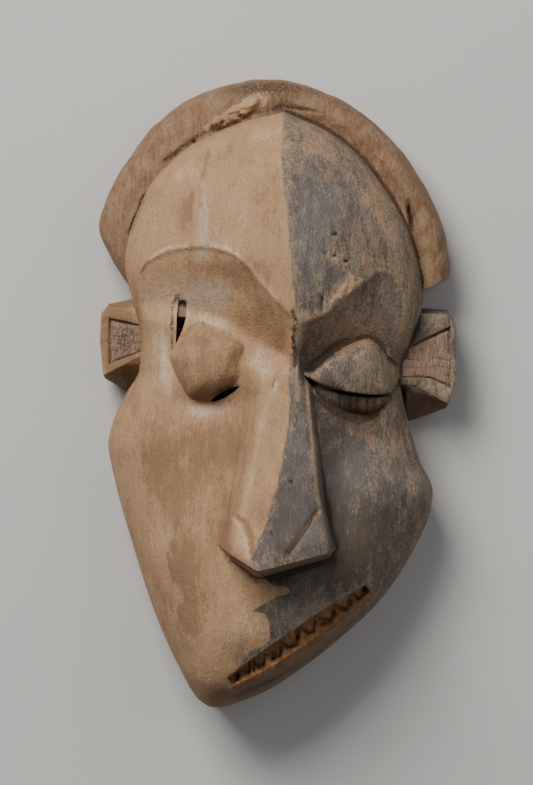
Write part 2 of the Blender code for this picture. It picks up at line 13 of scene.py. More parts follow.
import bmesh
import bpy
import numpy as np
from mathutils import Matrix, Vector

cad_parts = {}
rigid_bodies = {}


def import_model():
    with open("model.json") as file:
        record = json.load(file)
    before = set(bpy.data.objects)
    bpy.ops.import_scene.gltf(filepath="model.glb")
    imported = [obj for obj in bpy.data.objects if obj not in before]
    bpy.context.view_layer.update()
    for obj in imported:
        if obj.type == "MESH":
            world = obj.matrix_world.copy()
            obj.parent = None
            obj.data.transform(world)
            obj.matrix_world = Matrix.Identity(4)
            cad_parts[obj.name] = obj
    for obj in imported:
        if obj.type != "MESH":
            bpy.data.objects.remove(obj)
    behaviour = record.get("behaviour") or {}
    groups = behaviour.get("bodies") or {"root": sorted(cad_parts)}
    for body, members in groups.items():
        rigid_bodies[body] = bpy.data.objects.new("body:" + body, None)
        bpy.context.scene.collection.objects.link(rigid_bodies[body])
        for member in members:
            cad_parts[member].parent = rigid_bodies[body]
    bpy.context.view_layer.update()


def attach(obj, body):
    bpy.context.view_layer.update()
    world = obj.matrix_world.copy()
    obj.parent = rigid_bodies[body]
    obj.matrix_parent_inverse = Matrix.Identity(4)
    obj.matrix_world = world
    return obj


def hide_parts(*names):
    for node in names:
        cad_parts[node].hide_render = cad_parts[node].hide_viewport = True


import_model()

Array = np.ndarray
Point = tuple[float, float]
Colour = tuple[float, float, float]
Value = bpy.types.NodeSocket | float | Colour
MM = 0.001
ORIGIN = (-0.3, 0.6, 0.0)
NODE = "carved_mask"
BODY = "root"
SHARP_DEGREES = 52
FLOOR_GAP = 0.0003
FLOOR_REACH = 6.0
SENSOR = 36.0
VIEW_DISTANCE = 2.0
VIEW_HEIGHT = 0.376
CAMERA_PLACE = (-0.0052, -0.0006, 2.03)
log = logging.getLogger("mask")


class Side(Enum):
    """The two sides of the face as seen from the front."""

    LEFT = -1
    RIGHT = 1


@dataclass(frozen=True)
class Line:
    """A smooth curve through pairs of numbers, with no overshoot between them."""

    pairs: tuple[Point, ...]

    def __call__(self, at: Array | float) -> Array:
        """Reads the curve.

        Each stretch between two pairs is a cubic whose end slopes are the harmonic mean of the
        straight slopes on both sides, or level where those have different signs.

        Args:
            at: where to read it; past the ends it keeps its end values.

        Returns:
            The values there.
        """
        pairs = sorted(self.pairs)
        knots = np.array([pair[0] for pair in pairs], float)
        values = np.array([pair[1] for pair in pairs], float)
        widths = np.diff(knots)
        slopes = np.diff(values) / widths
        tangents = np.concatenate([slopes[:1], np.zeros(len(slopes) - 1), slopes[-1:]])
        same_way = slopes[:-1] * slopes[1:] > 0
        middle = 2 * slopes[:-1] * slopes[1:] / np.where(same_way, slopes[:-1] + slopes[1:], 1)
        tangents[1:-1] = np.where(same_way, middle, 0)
        at = np.clip(np.asarray(at, float), knots[0], knots[-1])
        i = np.clip(np.searchsorted(knots, at, side="right") - 1, 0, len(knots) - 2)
        t = (at - knots[i]) / widths[i]
        start = (1 + 2 * t) * (1 - t) ** 2 * values[i] + t * (1 - t) ** 2 * widths[i] * tangents[i]
        return start + t * t * (3 - 2 * t) * values[i + 1] + t * t * (t - 1) * widths[i] * tangents[i + 1]


def step(start: float, end: float, at: Array) -> Array:
    """Smooth step from 0 at start to 1 at end: 3t squared less 2t cubed."""
    t = np.clip((at - start) / (end - start), 0, 1)
    return t * t * (3 - 2 * t)


def smooth_max(a: Array, b: Array, softness: float) -> Array:
    """The larger of two heights, rounded over about the softness where they cross."""
    blend = np.clip(0.5 + 0.5 * (a - b) / softness, 0, 1)
    return b + (a - b) * blend + softness * blend * (1 - blend)


def smooth_min(a: Array, b: Array, softness: float) -> Array:
    """The smaller of two heights, rounded over about the softness where they cross."""
    return -smooth_max(-a, -b, softness)


def bell(away: Array, width: Array | float, power: float = 2) -> Array:
    """A soft bump: e to the minus distance, in widths, to a power."""
    return np.exp(-(away / width) ** power)


def arch(along: Array, margin: float, power: float) -> Array:
    """Rises from one end of a stroke and falls to the other: a sine's half wave to a power."""
    return np.sin(np.pi * np.clip(along, margin, 1 - margin)) ** power


def polar(x: Array, y: Array, centre: Point) -> tuple[Array, Array]:
    """Distance of places from a centre, and their direction from it in radians."""
    dx, dy = x - centre[0], y - centre[1]
    return np.hypot(dx, dy), np.arctan2(dy, dx)


def around(centre: Point, reach: Array, angle: Array) -> tuple[Array, Array]:
    """The places at some distances from a centre, in some directions."""
    return centre[0] + reach * np.cos(angle), centre[1] + reach * np.sin(angle)


def swell(x: Array, y: Array, centre: Point, radii: Point, turn: float = 0.0) -> Array:
    """A soft mound: e to the minus squared distance from its centre, in its own turned radii."""
    c, s = math.cos(math.radians(turn)), math.sin(math.radians(turn))
    u = (x - centre[0]) * c + (y - centre[1]) * s
    v = (y - centre[1]) * c - (x - centre[0]) * s
    return np.exp(-((u / radii[0]) ** 2 + (v / radii[1]) ** 2))


def from_stroke(x: Array, y: Array, start: Point, end: Point) -> tuple[Array, Array]:
    """Distance from a straight stroke, and the share of the way along it.

    Args:
        x: places across.
        y: places up.
        start: where the stroke begins.
        end: where it ends.

    Returns:
        The distance from the nearest point of the stroke, and that point's share of its length.
    """
    dx, dy = end[0] - start[0], end[1] - start[1]
    along = np.clip(((x - start[0]) * dx + (y - start[1]) * dy) / (dx * dx + dy * dy), 0, 1)
    return np.hypot(x - start[0] - along * dx, y - start[1] - along * dy), along


def from_path(x: Array, y: Array, points: Sequence[Point]) -> Array:
    """Distance of each place from the nearest of the straight pieces between some points."""
    return np.min([from_stroke(x, y, start, end)[0] for start, end in zip(points, points[1:])], axis=0)


def waves(x: Array, y: Array, size: float, seed: int, count: int = 9) -> Array:
    """Gentle unevenness about -1 to 1: a sum of sines of random directions and phases.

    Args:
        x: places across.
        y: places up.
        size: the usual length of a wave.
        seed: which set of waves.
        count: how many of them.

    Returns:
        The unevenness at each place.
    """
    dice = np.random.default_rng(seed)
    total = np.zeros(np.broadcast(x, y).shape)
    for _ in range(count):
        turn, phase = dice.uniform(0, 2 * math.pi, 2)
        length = size * dice.uniform(0.6, 1.7)
        total += np.sin((x * math.cos(turn) + y * math.sin(turn)) * 2 * math.pi / length + phase)
    return total / math.sqrt(2 * count)


@dataclass(frozen=True)
class Outline:
    """The closed outline of the face in plan, from one line of (y, x) down each side."""

    left: Line
    right: Line
    centre: Point = (-4.0, -12.0)
    crown: float = 134.0
    chin: float = -149.8
    samples: int = 500

    def radius(self, angle: Array, centre: Point | None = None) -> Array:
        """Distance from a centre to the outline in each direction.

        Args:
            angle: directions in radians.
            centre: where they start; the outline's own centre if left out.

        Returns:
            The distances.
        """
        centre = centre or self.centre
        share = 0.5 - 0.5 * np.cos(np.linspace(0, math.pi, self.samples))
        y = self.crown + (self.chin - self.crown) * share
        x = np.concatenate([self.left(y), self.right(y)[::-1]])
        y = np.concatenate([y, y[::-1]])
        reach, turns = polar(x, y, centre)
        order = np.argsort(turns)
        return np.interp(angle, turns[order], reach[order], period=2 * math.pi)

    def inside(self, x: Array, y: Array) -> Array:
        """How far each place lies inside the outline, along the line from the centre."""
        reach, angle = polar(x, y, self.centre)
        return self.radius(angle) - reach


@dataclass(frozen=True)
class Socket:
    """An eye socket: its brow line and floor line (x, y), its depth (x, depth) and its brow's edge."""

    brow: Line
    floor: Line
    depth: Line
    edge_rise: float
    edge_width: float
    edge_drop: float = 0.9

    def height(self, x: Array, y: Array) -> Array:
        """Height added to the face: a fall from the brow to the floor, and a crisp edge above it.

        The fall grows as the 0.8th power of the share of the way down and ends in a soft step past
        the floor. The edge climbs to the brow line from above and drops straight after it.
        """
        top, low = self.brow(x), self.floor(x)
        share = (top - y) / np.maximum(top - low, 4)
        fall = np.clip(share, 0, 1.4) ** 0.8 * (1 - step(0.9, 1.45, share))
        above = bell(np.clip(y - top, 0, None), self.edge_width, 1.4)
        below = bell(np.clip(top - y, 0, None), self.edge_drop)
        return self.edge_rise * np.where(y > top, above, below) - self.depth(x) * fall


@dataclass(frozen=True)
class RoundLid:
    """The bulging left eyelid: a dome with soft facets given as (direction in degrees, reach)."""

    centre: Point = (-32.2, 13.1)
    radius: float = 18.3
    rise: float = 15.5
    facets: tuple[Point, ...] = ((141, 17.3), (69, 16.3), (-3, 18), (-58, 15.8), (-102, 16.9), (-155, 15))
    softness: float = 0.12
    faceted: float = 0.75
    fall: float = 120.0

    def height(self, x: Array, y: Array) -> Array:
        """Height over the socket: a flat topped dome that falls steeply past its outline."""
        dx, dy = x - self.centre[0], y - self.centre[1]
        away = np.full_like(x, -1.0)
        for turn, reach in self.facets:
            angle = math.radians(turn)
            away = smooth_max(away, (dx * math.cos(angle) + dy * math.sin(angle)) / reach, self.softness)
        away = self.faceted * away + (1 - self.faceted) * np.hypot(dx, dy) / self.radius
        inside = np.clip(away, 0, 1)
        tilt = 0.05 * dy - 0.03 * dx
        return self.rise * (1 - inside ** 2.5) ** 0.6 + tilt - self.fall * np.clip(away - 1, 0, 1)


@dataclass(frozen=True)
class HoodLid:
    """The half closed right eye: a hooded lid, the slit under it, the eyeball and its lower cut."""

    foot: Line
    top: Line
    rise: Line
    floor: Line
    sunk: float = 8.0
    ends: Point = (12.0, 59.5)
    past_top: float = 8.0
    below_all: float = -30.0
    cut_ends: Point = (13.0, 56.5)
    cut_depth: float = 9.5
    steepness: float = 4.5
    lower_bank: float = 0.4
    blend: float = 0.6

    def hood(self, x: Array, y: Array) -> Array:
        """Height of the lid over the face: a quarter round from its foot to its top."""
        foot, top = self.foot(x), self.top(x)
        share = (y - foot) / np.maximum(top - foot, 1)
        hood = self.rise(x) * np.sqrt(1 - np.clip(share, 0, 1) ** 2.2) - self.sunk
        hood = hood - 50 * np.clip(0.14 - share, 0, 1) ** 2 - 0.8 * np.clip(y - top, 0, None)
        on_lid = (share > 0) & (y < top + self.past_top) & (x > self.ends[0]) & (x < self.ends[1])
        return np.where(on_lid, hood, self.below_all)

    def cut(self, x: Array, y: Array) -> Array:
        """Depth of the cut under the lid: steep banks, an eyeball that rolls down into a crescent."""
        foot, floor = self.foot(x), self.floor(x)
        inside = np.clip(np.minimum(foot - y, (y - floor) * self.lower_bank), 0, None)
        slit = -2.2 * bell(foot - y - 1.0, 0.7) * step(20, 30, x)
        ball = -1.2 - 0.0063 * (x - 37) ** 2 - 0.13 * np.clip(-3.5 - y, 0, 9) ** 2
        gouges = -0.9 * np.clip(np.sin(x * 1.55 + 0.6 * np.sin(x * 0.7)), 0, 1) ** 3 * step(24, 30, x)
        bed = ball + (gouges + slit) * step(0, 1.0, inside)
        cut = smooth_max(-np.clip(inside * self.steepness, 0, self.cut_depth), bed, self.blend)
        return np.where((inside > 0) & (x > self.cut_ends[0]) & (x < self.cut_ends[1]), cut, 0.0)


@dataclass(frozen=True)
class Face:
    """The carved face as a height over the plan, without nose, hair brim and ears."""

    outline: Outline
    keel: Line
    keel_height: Line
    edge_height: Line
    left_socket: Socket
    right_socket: Socket
    round_lid: RoundLid
    hood_lid: HoodLid
    ridge_shift: float = 1.6
    lid_sunk: float = 4.0
    lid_blends: Point = (0.9, 1.2)
    edge_roll: float = 12.0
    wall_taper: float = 3.0
    flat_share: float = 0.88
    cells: tuple[int, int] = (170, 262)
    roll_rings: int = 9
    wall_rings: int = 5
    below: float = -3.0

    def plain(self, x: Array, y: Array) -> Array:
        """The face without features.

        Each row is a curve from the outline's height to the keel's: one less the 2.1th power of the
        share of the way out, which is fuller at the jaw and has part of a straight crease in the
        forehead.
        """
        keel, left, right = self.keel(y), self.outline.left(y), self.outline.right(y)
        half = np.where(x < keel, keel - left, right - keel)
        share = np.clip(np.abs(x - keel) / np.maximum(half, 1), 0, 1)
        share = np.sqrt(share ** 2 + 0.0004)
        top, edge = self.keel_height(y), self.edge_height(y)
        crease = 0.5 * step(0, 30, y) + 0.12 * step(-60, -110, y)
        fullness = 2.1 + 0.5 * step(0, -60, y)
        return edge + (top - edge) * ((1 - crease) * (1 - share ** fullness) + crease * (1 - share))

    def height(self, x: Array, y: Array) -> Array:
        """The carved face: sockets, cheek hollows, lids, brow band, scars and gouges on the plain one."""
        z = self.plain(x, y)
        ridge = self.keel(y) - self.ridge_shift
        left = self.left_socket.height(x, y) * step(-71, -62, x) * (1 - 0.75 * step(3.0, 7.0, x))
        right = self.right_socket.height(x, y) * step(8.5, 14, x) * (1 - step(59, 63, x))
        z = z + np.where(x < ridge, left, right)
        for cx, cy, rx, ry, turn, rise in MOUNDS:
            z = z + rise * swell(x, y, (cx, cy), (rx, ry), turn)
        at_lid = self.plain(*(np.full_like(x, place) for place in self.round_lid.centre))
        z = smooth_max(z, at_lid - self.lid_sunk + self.round_lid.height(x, y), self.lid_blends[0])
        z = z + self.hood_lid.cut(x, y)
        z = smooth_max(z, self.plain(x, y) + self.hood_lid.hood(x, y), self.lid_blends[1])
        return z + self.brow_band(x, y) + self.marks(x, y) + self.tooling(x, y)

    def brow_band(self, x: Array, y: Array) -> Array:
        """The raised wedge on the right brow, with a thin groove below it."""
        away, along = from_stroke(x, y, *BROW_WEDGE)
        wedge = bell(away, 0.9 + 4.2 * along, 4) * step(0, 0.2, along) * (1 - step(0.6, 1.0, along))
        away, along = from_stroke(x, y, *BROW_GROOVE)
        groove = 1.1 * bell(away, 0.8) * arch(along, 0.02, 0.6)
        return wedge * (1.3 + 0.7 * waves(x, y, 3.0, 21)) - groove

    def marks(self, x: Array, y: Array) -> Array:
        """Single cuts: the scar over the left brow, the crevice by the nose root, chips and nicks."""
        away, along = from_stroke(x, y, *SCAR)
        scar = -1.1 * bell(away, 0.8 + 2.6 * np.sin(np.pi * along ** 0.7) ** 1.5)
        uneven = waves(x * 0.5, y, 5, 23)
        away, along = from_stroke(x + 1.1 * uneven, y, *CREVICE)
        crevice = -1.7 * bell(away, 0.9) * step(0, 0.3, along) * np.clip(0.6 + 0.7 * uneven, 0, 1)
        gouge = -1.4 * bell(from_path(x, y, GOUGE), 1.0)
        total = scar + crevice + gouge
        below_lip = np.stack([from_path(x, y + drop, LIP_LINE) for drop in (0.5, 3.6, 6.4)])
        lip = 1.3 * bell(below_lip[0], 1.7) - 0.9 * bell(below_lip[1], 1.1)
        total = total + lip - 0.5 * bell(below_lip[2], 1.0)
        for cx, cy, rx, ry, turn, depth in FOREHEAD_CHIPS:
            total = total - depth * bell(np.log(swell(x, y, (cx, cy), (rx, ry), turn) + 1e-9), 1)
        return total

    def tooling(self, x: Array, y: Array) -> Array:
        """The unevenness that the adze and the knife left: broad facets and finer ripples."""
        broad = 0.35 * waves(x, y * 0.6, 26, 3) + 0.16 * waves(x, y * 0.5, 9, 5)
        return broad + 0.06 * waves(x, y * 0.22, 3.4, 8, 14)

    def worn(self, x: Array, y: Array) -> Array:
        """The carved face with its outline rounded by a quarter circle."""
        past_roll = 1 - np.clip(self.outline.inside(x, y) / self.edge_roll, 0, 1)
        return self.height(x, y) - self.edge_roll * (1 - np.sqrt(1 - past_roll ** 2))

    def surface(self) -> "Surface":
        """The face, its rounded outline and its side wall as one closed surface.

        A square grid is laid on a disc in rings. The rings are the carved face first, then a quarter
        round, then the wall, which leans in towards the back.
        """
        border = self.roll_rings + self.wall_rings
        inner = self.flat_share
        edge = inner + (1 - inner) * np.arange(1, border + 1) / border
        lines = []
        for count in self.cells:
            half = np.linspace(0, inner, count // 2 + 1)
            line = np.concatenate([half, edge])
            lines.append(np.concatenate([-line[:0:-1], line]))
        u, v = np.meshgrid(*lines)
        ring, angle = disc(u, v)
        turned = np.clip((ring - inner) / (1 - inner) * border / self.roll_rings, 0, 1) * math.pi / 2
        down = np.clip(((ring - inner) / (1 - inner) * border - self.roll_rings) / self.wall_rings, 0, 1)
        reach = self.outline.radius(angle)
        out = (reach - self.edge_roll) * np.clip(ring / inner, 0, 1) + self.edge_roll * np.sin(turned)
        x, y = around(self.outline.centre, out, angle)
        z = self.height(x, y) - self.edge_roll * (1 - np.cos(turned))
        wall = 0.5 * waves(angle * 60, z, 14, 21) * np.sin(np.pi * down)
        lean = self.wall_taper * down + wall
        z = z * (1 - down) + self.below * down
        return Surface.over_disc(x - lean * np.cos(angle), y - lean * np.sin(angle), z)


def disc(u: Array, v: Array) -> tuple[Array, Array]:
    """Lays a square from -1 to 1 on a disc in rings.

    Args:
        u: places across the square.
        v: places up it.

    Returns:
        The share of the way out, which is the larger of u and v, and the angle in radians.
    """
    ring = np.maximum(np.abs(u), np.abs(v))
    level = np.abs(u) >= np.abs(v)
    ahead = np.where(level, u, v)
    share = np.where(level, v, u) / np.where(ahead == 0, 1, ahead)
    turn = np.where(level, share, 2 - share) * math.pi / 4
    return ring, np.where(ahead < 0, turn + math.pi, turn)


@dataclass
class Surface:
    """A closed surface as points in millimetres and faces by the points' numbers."""

    points: Array
    faces: list[list[int]]

    @staticmethod
    def over_disc(x: Array, y: Array, z: Array) -> "Surface":
        """Closes a square grid of points with a fan from its border to one centre below it."""
        number = np.arange(x.size).reshape(x.shape)
        corners = (number[:-1, :-1], number[:-1, 1:], number[1:, 1:], number[1:, :-1])
        faces = np.stack(corners, -1).reshape(-1, 4).tolist()
        border = np.concatenate([number[0, :-1], number[:-1, -1], number[-1, :0:-1], number[:0:-1, 0]])
        points = np.stack([x.ravel(), y.ravel(), z.ravel()], -1)
        centre = points[border].mean(axis=0)
        faces += [[int(a), int(b), len(points)] for a, b in zip(border, np.roll(border, -1))]
        return Surface(np.vstack([points, centre]), faces)

    @staticmethod
    def through(rings: Array) -> "Surface":
        """Skins rings of equally many points, an array of (ring, point, xyz), and caps both ends."""
        count, around = rings.shape[:2]
        number = np.arange(count * around).reshape(count, around)
        ahead = np.roll(number, -1, axis=1)
        corners = (number[:-1], ahead[:-1], ahead[1:], number[1:])
        faces = np.stack(corners, -1).reshape(-1, 4).tolist()
        faces += [number[0].tolist(), number[-1].tolist()]
        return Surface(rings.reshape(-1, 3), faces)

    def mesh_object(self, name: str) -> bpy.types.Object:
        """Makes the mesh object, in metres, in triangles with outward faces.

        Args:
            name: the object's name.

        Returns:
            The new object, linked to the scene.
        """
        mesh = bpy.data.meshes.new(name)
        mesh.from_pydata(((self.points - ORIGIN) * MM).tolist(), [], self.faces)
        work = bmesh.new()
        work.from_mesh(mesh)
        bmesh.ops.triangulate(work, faces=work.faces)
        bmesh.ops.recalc_face_normals(work, faces=work.faces)
        work.to_mesh(mesh)
        work.free()
        made = bpy.data.objects.new(name, mesh)
        bpy.context.collection.objects.link(made)
        return made


@dataclass(frozen=True)
class Nose:
    """The nose: four long planes over a foot sunk in the face, cut off below in a V."""

    face: Face
    lines: tuple[Line, ...]
    rise: Line
    end: tuple[Point, ...]
    levels: tuple[float, ...] = (0.0, 0.79, 1.0, 0.79, 0.0)
    top: float = 20.0
    last: float = -67.0
    undercut: float = 5.0
    sunk: float = 1.5
    root: float = 10.0
    across: int = 63
    spread: tuple[float, ...] = (0.0, 0.19, 0.4, 0.84, 1.0)
    down: int = 104
    tip_rings: int = 14
    under_rings: int = 8

    def section(self, s: Array, share: float) -> Array:
        """Reads one cross-section, an (x, y, level) at each place from 0 at the left foot to 4.

        Args:
            s: places across, one for each of the five lines and between them.
            share: from 0 at the root to 1 where the tip begins, then to 2 at its lower edge.

        Returns:
            The x, y and level there, as three rows.
        """
        y = self.top + (self.last - self.top) * min(share, 1)
        rows = np.array([[float(line(y)) for line in self.lines], [y] * 5, self.levels])
        if share > 1:
            rows[:2] += (np.array(self.end).T - rows[:2]) * (share - 1)
        return np.array([np.interp(s, range(5), row) for row in rows])

    def surface(self) -> Surface:
        """The nose as a closed loft, its long edges worn round by averaging a little to each side."""
        s = np.interp(np.linspace(0, 1, self.across), self.spread, range(5))
        shares = np.concatenate([np.linspace(0, 1, self.down), np.linspace(1, 2, self.tip_rings + 1)[1:]])
        rings = []
        for share in shares:
            soft = 0.07 if share < 1.9 else 0.05
            near = [self.section(np.clip(s + shift, 0, 4), share) for shift in (-soft, 0, soft)]
            x, y, level = 0.3 * near[0] + 0.4 * near[1] + 0.3 * near[2]
            rings.append(np.stack([x, y, self.skin(x, y, level)], -1))
        lip, level = rings[-1], self.section(s, 2)[2]
        for share in np.linspace(0, 1, self.under_rings + 1)[1:]:
            y = lip[:, 1] - level * self.undercut * share
            foot = self.face.height(lip[:, 0], y) - self.sunk
            rings.append(np.stack([lip[:, 0], y, lip[:, 2] + (foot - lip[:, 2]) * share ** 1.1], -1))
        solid = []
        for ring in rings:
            feet = ring[[-1, 0]] - np.array([0, 0, self.root])
            solid.append(np.concatenate([ring, feet]))
        return Surface.through(np.array(solid))

    def skin(self, x: Array, y: Array, level: Array) -> Array:
        """Height of the nose: its share of the rise over the face, with the cuts of its nostrils."""
        z = self.face.height(x, y) + level * self.rise(y) - self.sunk * (1 - step(0, 0.06, level))
        away, along = from_stroke(x, y, *NOSTRIL)
        z = z - 1.9 * bell(away, 1.5) * step(0, 0.12, along)
        z = z - 2.0 * bell(from_path(x, y, LEAF), 1.1) + 1.3 * swell(x, y, (-18, -67), (4, 8), 12)
        z = z - 1.6 * step(-21.5, -24.5, x) * step(-59, -63, y)
        for cx, cy, depth in NOSE_PITS:
            z = z - depth * swell(x, y, (cx, cy), (1.1, 1.1))
        return z


@dataclass(frozen=True)
class HairBrim:
    """The hair standing up behind the forehead: a flat board on the left, ridged on the right."""

    outline: Outline
    outer: Line
    section: tuple[tuple[float, float, float], ...]
    centre: Point = (0.0, 40.0)
    inset: float = 9.0
    inner_turn: Point = (4.0, 178.0)
    outer_turn: Point = (10.4, 172.0)
    stations: int = 230
    across: tuple[int, ...] = (8, 7, 6, 7, 5, 4, 3, 3, 10)
    rounding: float = 0.22
    front_places: float = 5.5

    def surface(self) -> Surface:
        """The brim as a closed loft round the crown.

        Each section runs from the head out to the rim and back below it. Its corners are given twice,
        for the board and for the ridge, and the two are blended along the brim.
        """
        t = np.linspace(0, 1, self.stations)[:, None]
        turns = (self.inner_turn, self.outer_turn)
        inner_turn, outer_turn = (np.radians(start + (end - start) * t) for start, end in turns)
        inner = self.outline.radius(inner_turn, self.centre) - self.inset
        outer = self.outer(np.degrees(outer_turn))
        count = len(self.across)
        places = [np.linspace(i, i + 1, n, endpoint=False) for i, n in enumerate(self.across)]
        places = np.append(np.concatenate(places), count)
        near = [np.clip(places + shift, 0, count) for shift in (-self.rounding, 0, self.rounding)]
        share, board, ridge = (sum(np.interp(at, range(count + 1), row) for at in near) / 3
                               for row in np.array(self.section).T)
        ridged = 1 - step(0.4, 0.6, t)
        start_x, start_y = around(self.centre, inner, inner_turn)
        end_x, end_y = around(self.centre, outer, outer_turn)
        x, y = start_x + (end_x - start_x) * share, start_y + (end_y - start_y) * share
        z = board + (ridge - board) * ridged
        z = z + np.where(places < self.front_places, self.cuts(x, y), 0.0)
        rough = 0.35 * waves(x * 2, y * 2, 22, 31) * np.clip(share - 0.6, 0, 1) * 2
        x, y = around((x, y), rough, outer_turn)
        return Surface.through(np.stack([x, y, z], -1))

    def cuts(self, x: Array, y: Array) -> Array:
        """Adze facets, splits and holes in the front of the brim."""
        reach, turn = polar(x, y, self.centre)
        z = 0.3 * waves(turn * 70, reach * 0.5, 16, 33) + 0.09 * waves(turn * 90, reach * 0.25, 4, 34, 12)
        for start, end, width, depth in BRIM_SPLITS:
            away, along = from_stroke(x + 0.5 * waves(x, y, 9, 41), y, start, end)
            z = z - depth * bell(away, width) * arch(along, 0.04, 0.5)
        away, along = from_stroke(x, y + 0.8 * waves(x, y, 7, 43), *FILLER)
        lump = bell(away, 3.6) * arch(along, 0.03, 0.5)
        z = z + 3.6 * step(0.15, 0.75, lump + 0.22 * waves(x, y, 6, 44)) + 0.9 * lump * waves(x, y, 2.2, 45)
        for cx, cy, radius, depth in BRIM_HOLES:
            z = z - depth * swell(x, y, (cx, cy), (radius, radius))
        return z


@dataclass(frozen=True)
class Ear:
    """An ear: a block with a slanted underside and a flat recess in its front."""

    back: tuple[Point, ...]
    front: tuple[Point, ...]
    recess: tuple[Point, ...]
    centre: Point
    back_height: float = 9.0
    front_height: float = 34.0
    lean: float = 0.12
    root: float = 60.0
    recess_depth: float = 1.3
    points: int = 150

    def reach(self, corners: Sequence[Point], angles: Array) -> Array:
        """Distance from the centre to a straight sided outline in each direction."""
        a = np.array(corners) - self.centre
        b = np.roll(a, -1, axis=0)
        ahead = np.stack([np.cos(angles), np.sin(angles)], -1)
        side = b - a
        cross = ahead[:, None, 0] * side[None, :, 1] - ahead[:, None, 1] * side[None, :, 0]
        cross = np.where(np.abs(cross) < 1e-9, 1e-9, cross)
        reach = (a[:, 0] * side[:, 1] - a[:, 1] * side[:, 0]) / cross
        where = (a[None, :, 0] * ahead[:, None, 1] - a[None, :, 1] * ahead[:, None, 0]) / cross
        hit = (reach > 0) & (where > -1e-6) & (where < 1 + 1e-6)
        return np.where(hit, reach, 1e9).min(axis=1)

    def surface(self) -> Surface:
        """The ear as rings round its recess: back, side, rim, the recess's wall and its floor.

        Every outline is read by its distance from one centre, so that the rings have as many points
        each; they are joined by short steps that round the edges.
        """
        at_corners = polar(*np.array((*self.back, *self.front, *self.recess)).T, self.centre)[1]
        even = np.linspace(-math.pi, math.pi, self.points + 1)[1:]
        angles = np.unique(np.round(np.concatenate([even, at_corners]), 4))
        back, front, recess = (self.reach(c, angles) for c in (self.back, self.front, self.recess))
        base = np.full_like(back, self.back_height)
        rings = [(back, base, 0.0)]
        for share in np.linspace(0.1, 0.95, 10):
            rings.append((back + (front - back) * share, share, 0.35))
        for inset, drop in ((0.15, 0.7), (0.5, 0.25), (1.1, 0.05)):
            rings.append((front - inset, -drop, 0.0))
        for share in (0.3, 0.65):
            rings.append((front - 1.1 + (recess + 0.8 - front + 1.1) * share, -0.02, 0.0))
        for out, drop in ((0.8, 0.05), (0.25, 0.3), (0.0, 0.9), (-0.1, 1.5)):
            rings.append((recess + out, -drop, 0.0))
        for share in (0.97, 0.94, 0.9, 0.86, 0.8, 0.65, 0.5, 0.35, 0.2, 0.1, 0.02):
            groove = 1.1 * bell(share - 0.93, 0.06) * (0.3 + 0.7 * np.abs(np.sin(angles)))
            rings.append((recess * share, -self.recess_depth - groove, 0.0))
        made = []
        for reach, height, rough in rings:
            x, y = around(self.centre, reach, angles)
            top = self.top(x)
            if rough:
                z = self.back_height + (top - self.back_height) * height
                uneven = rough * waves(angles * 25, z, 12, 51)
                x, y = x - np.abs(uneven) * np.cos(angles), y - np.abs(uneven) * np.sin(angles)
            elif height is base:
                z = height
            else:
                z = top + height - 0.25 - 0.25 * waves(x, y * 3, 12, 52)
                z = z - self.scores(x, y) * (height < -1.2)
            made.append(np.stack([x, y, z], -1))
        return Surface.through(np.array(made))

    def top(self, x: Array) -> Array:
        """Height of the ear's front, which leans back away from the face."""
        return self.front_height - self.lean * (np.abs(x) - self.root)

    def scores(self, x: Array, y: Array) -> Array:
        """Knife scores across the floor of the recess: how deep they are."""
        return 0.35 * np.clip(np.sin(y * 1.7 + 0.8 * np.sin(x * 0.4)), 0, 1) ** 4


@dataclass(frozen=True)
class Hollow:
    """The hollow behind the face, a dome a wall's thickness inside the carving."""

    face: Face
    rim: float = 13.0
    thickness: float = 15.0
    fullness: float = 2.6
    thin_wall: float = 8.0
    near: tuple[float, ...] = (5.0, 10.0)
    floor: float = -6.0
    cells: int = 84
    softening: int = 14
    blend: float = 8.0
    adze_depth: float = 1.1

    def surface(self) -> Surface:
        """The cutter: its height is a root of one less the 2.6th power of the share of the way out.

        Where the carving dips, the dome stays a thin wall below the lowest place near it. Adze marks
        run down it in rows.
        """
        line = np.linspace(-1, 1, self.cells + 1)
        ring, angle = disc(*np.meshgrid(line, line))
        face = self.face
        out = face.outline.radius(angle) - self.rim - face.wall_taper
        out = out * np.sin(ring * math.pi / 2)
        x, y = around(face.outline.centre, out, angle)
        dome = (face.keel_height(y) - self.thickness) * np.sqrt(1 - ring ** self.fullness)
        lowest = face.worn(x, y)
        for turn in np.arange(8) * math.pi / 4:
            for reach in self.near:
                lowest = np.minimum(lowest, face.worn(*around((x, y), reach, turn)))
        for _ in range(self.softening):
            wide = np.pad(lowest, 1, mode="edge")
            beside = wide[:-2, 1:-1] + wide[2:, 1:-1] + wide[1:-1, :-2] + wide[1:-1, 2:]
            lowest = 0.5 * lowest + 0.125 * beside
        z = smooth_min(dome, lowest - self.thin_wall, self.blend)
        rows = np.abs(np.sin(x * 0.31 + 0.9 * waves(x, y, 30, 61)))
        scallops = rows * np.abs(np.sin(y * 0.17 + x * 0.11))
        z = z - self.adze_depth * scallops * step(4, 14, z)
        z = np.where(ring < 1, z, self.floor)
        return Surface.over_disc(x, y, z)


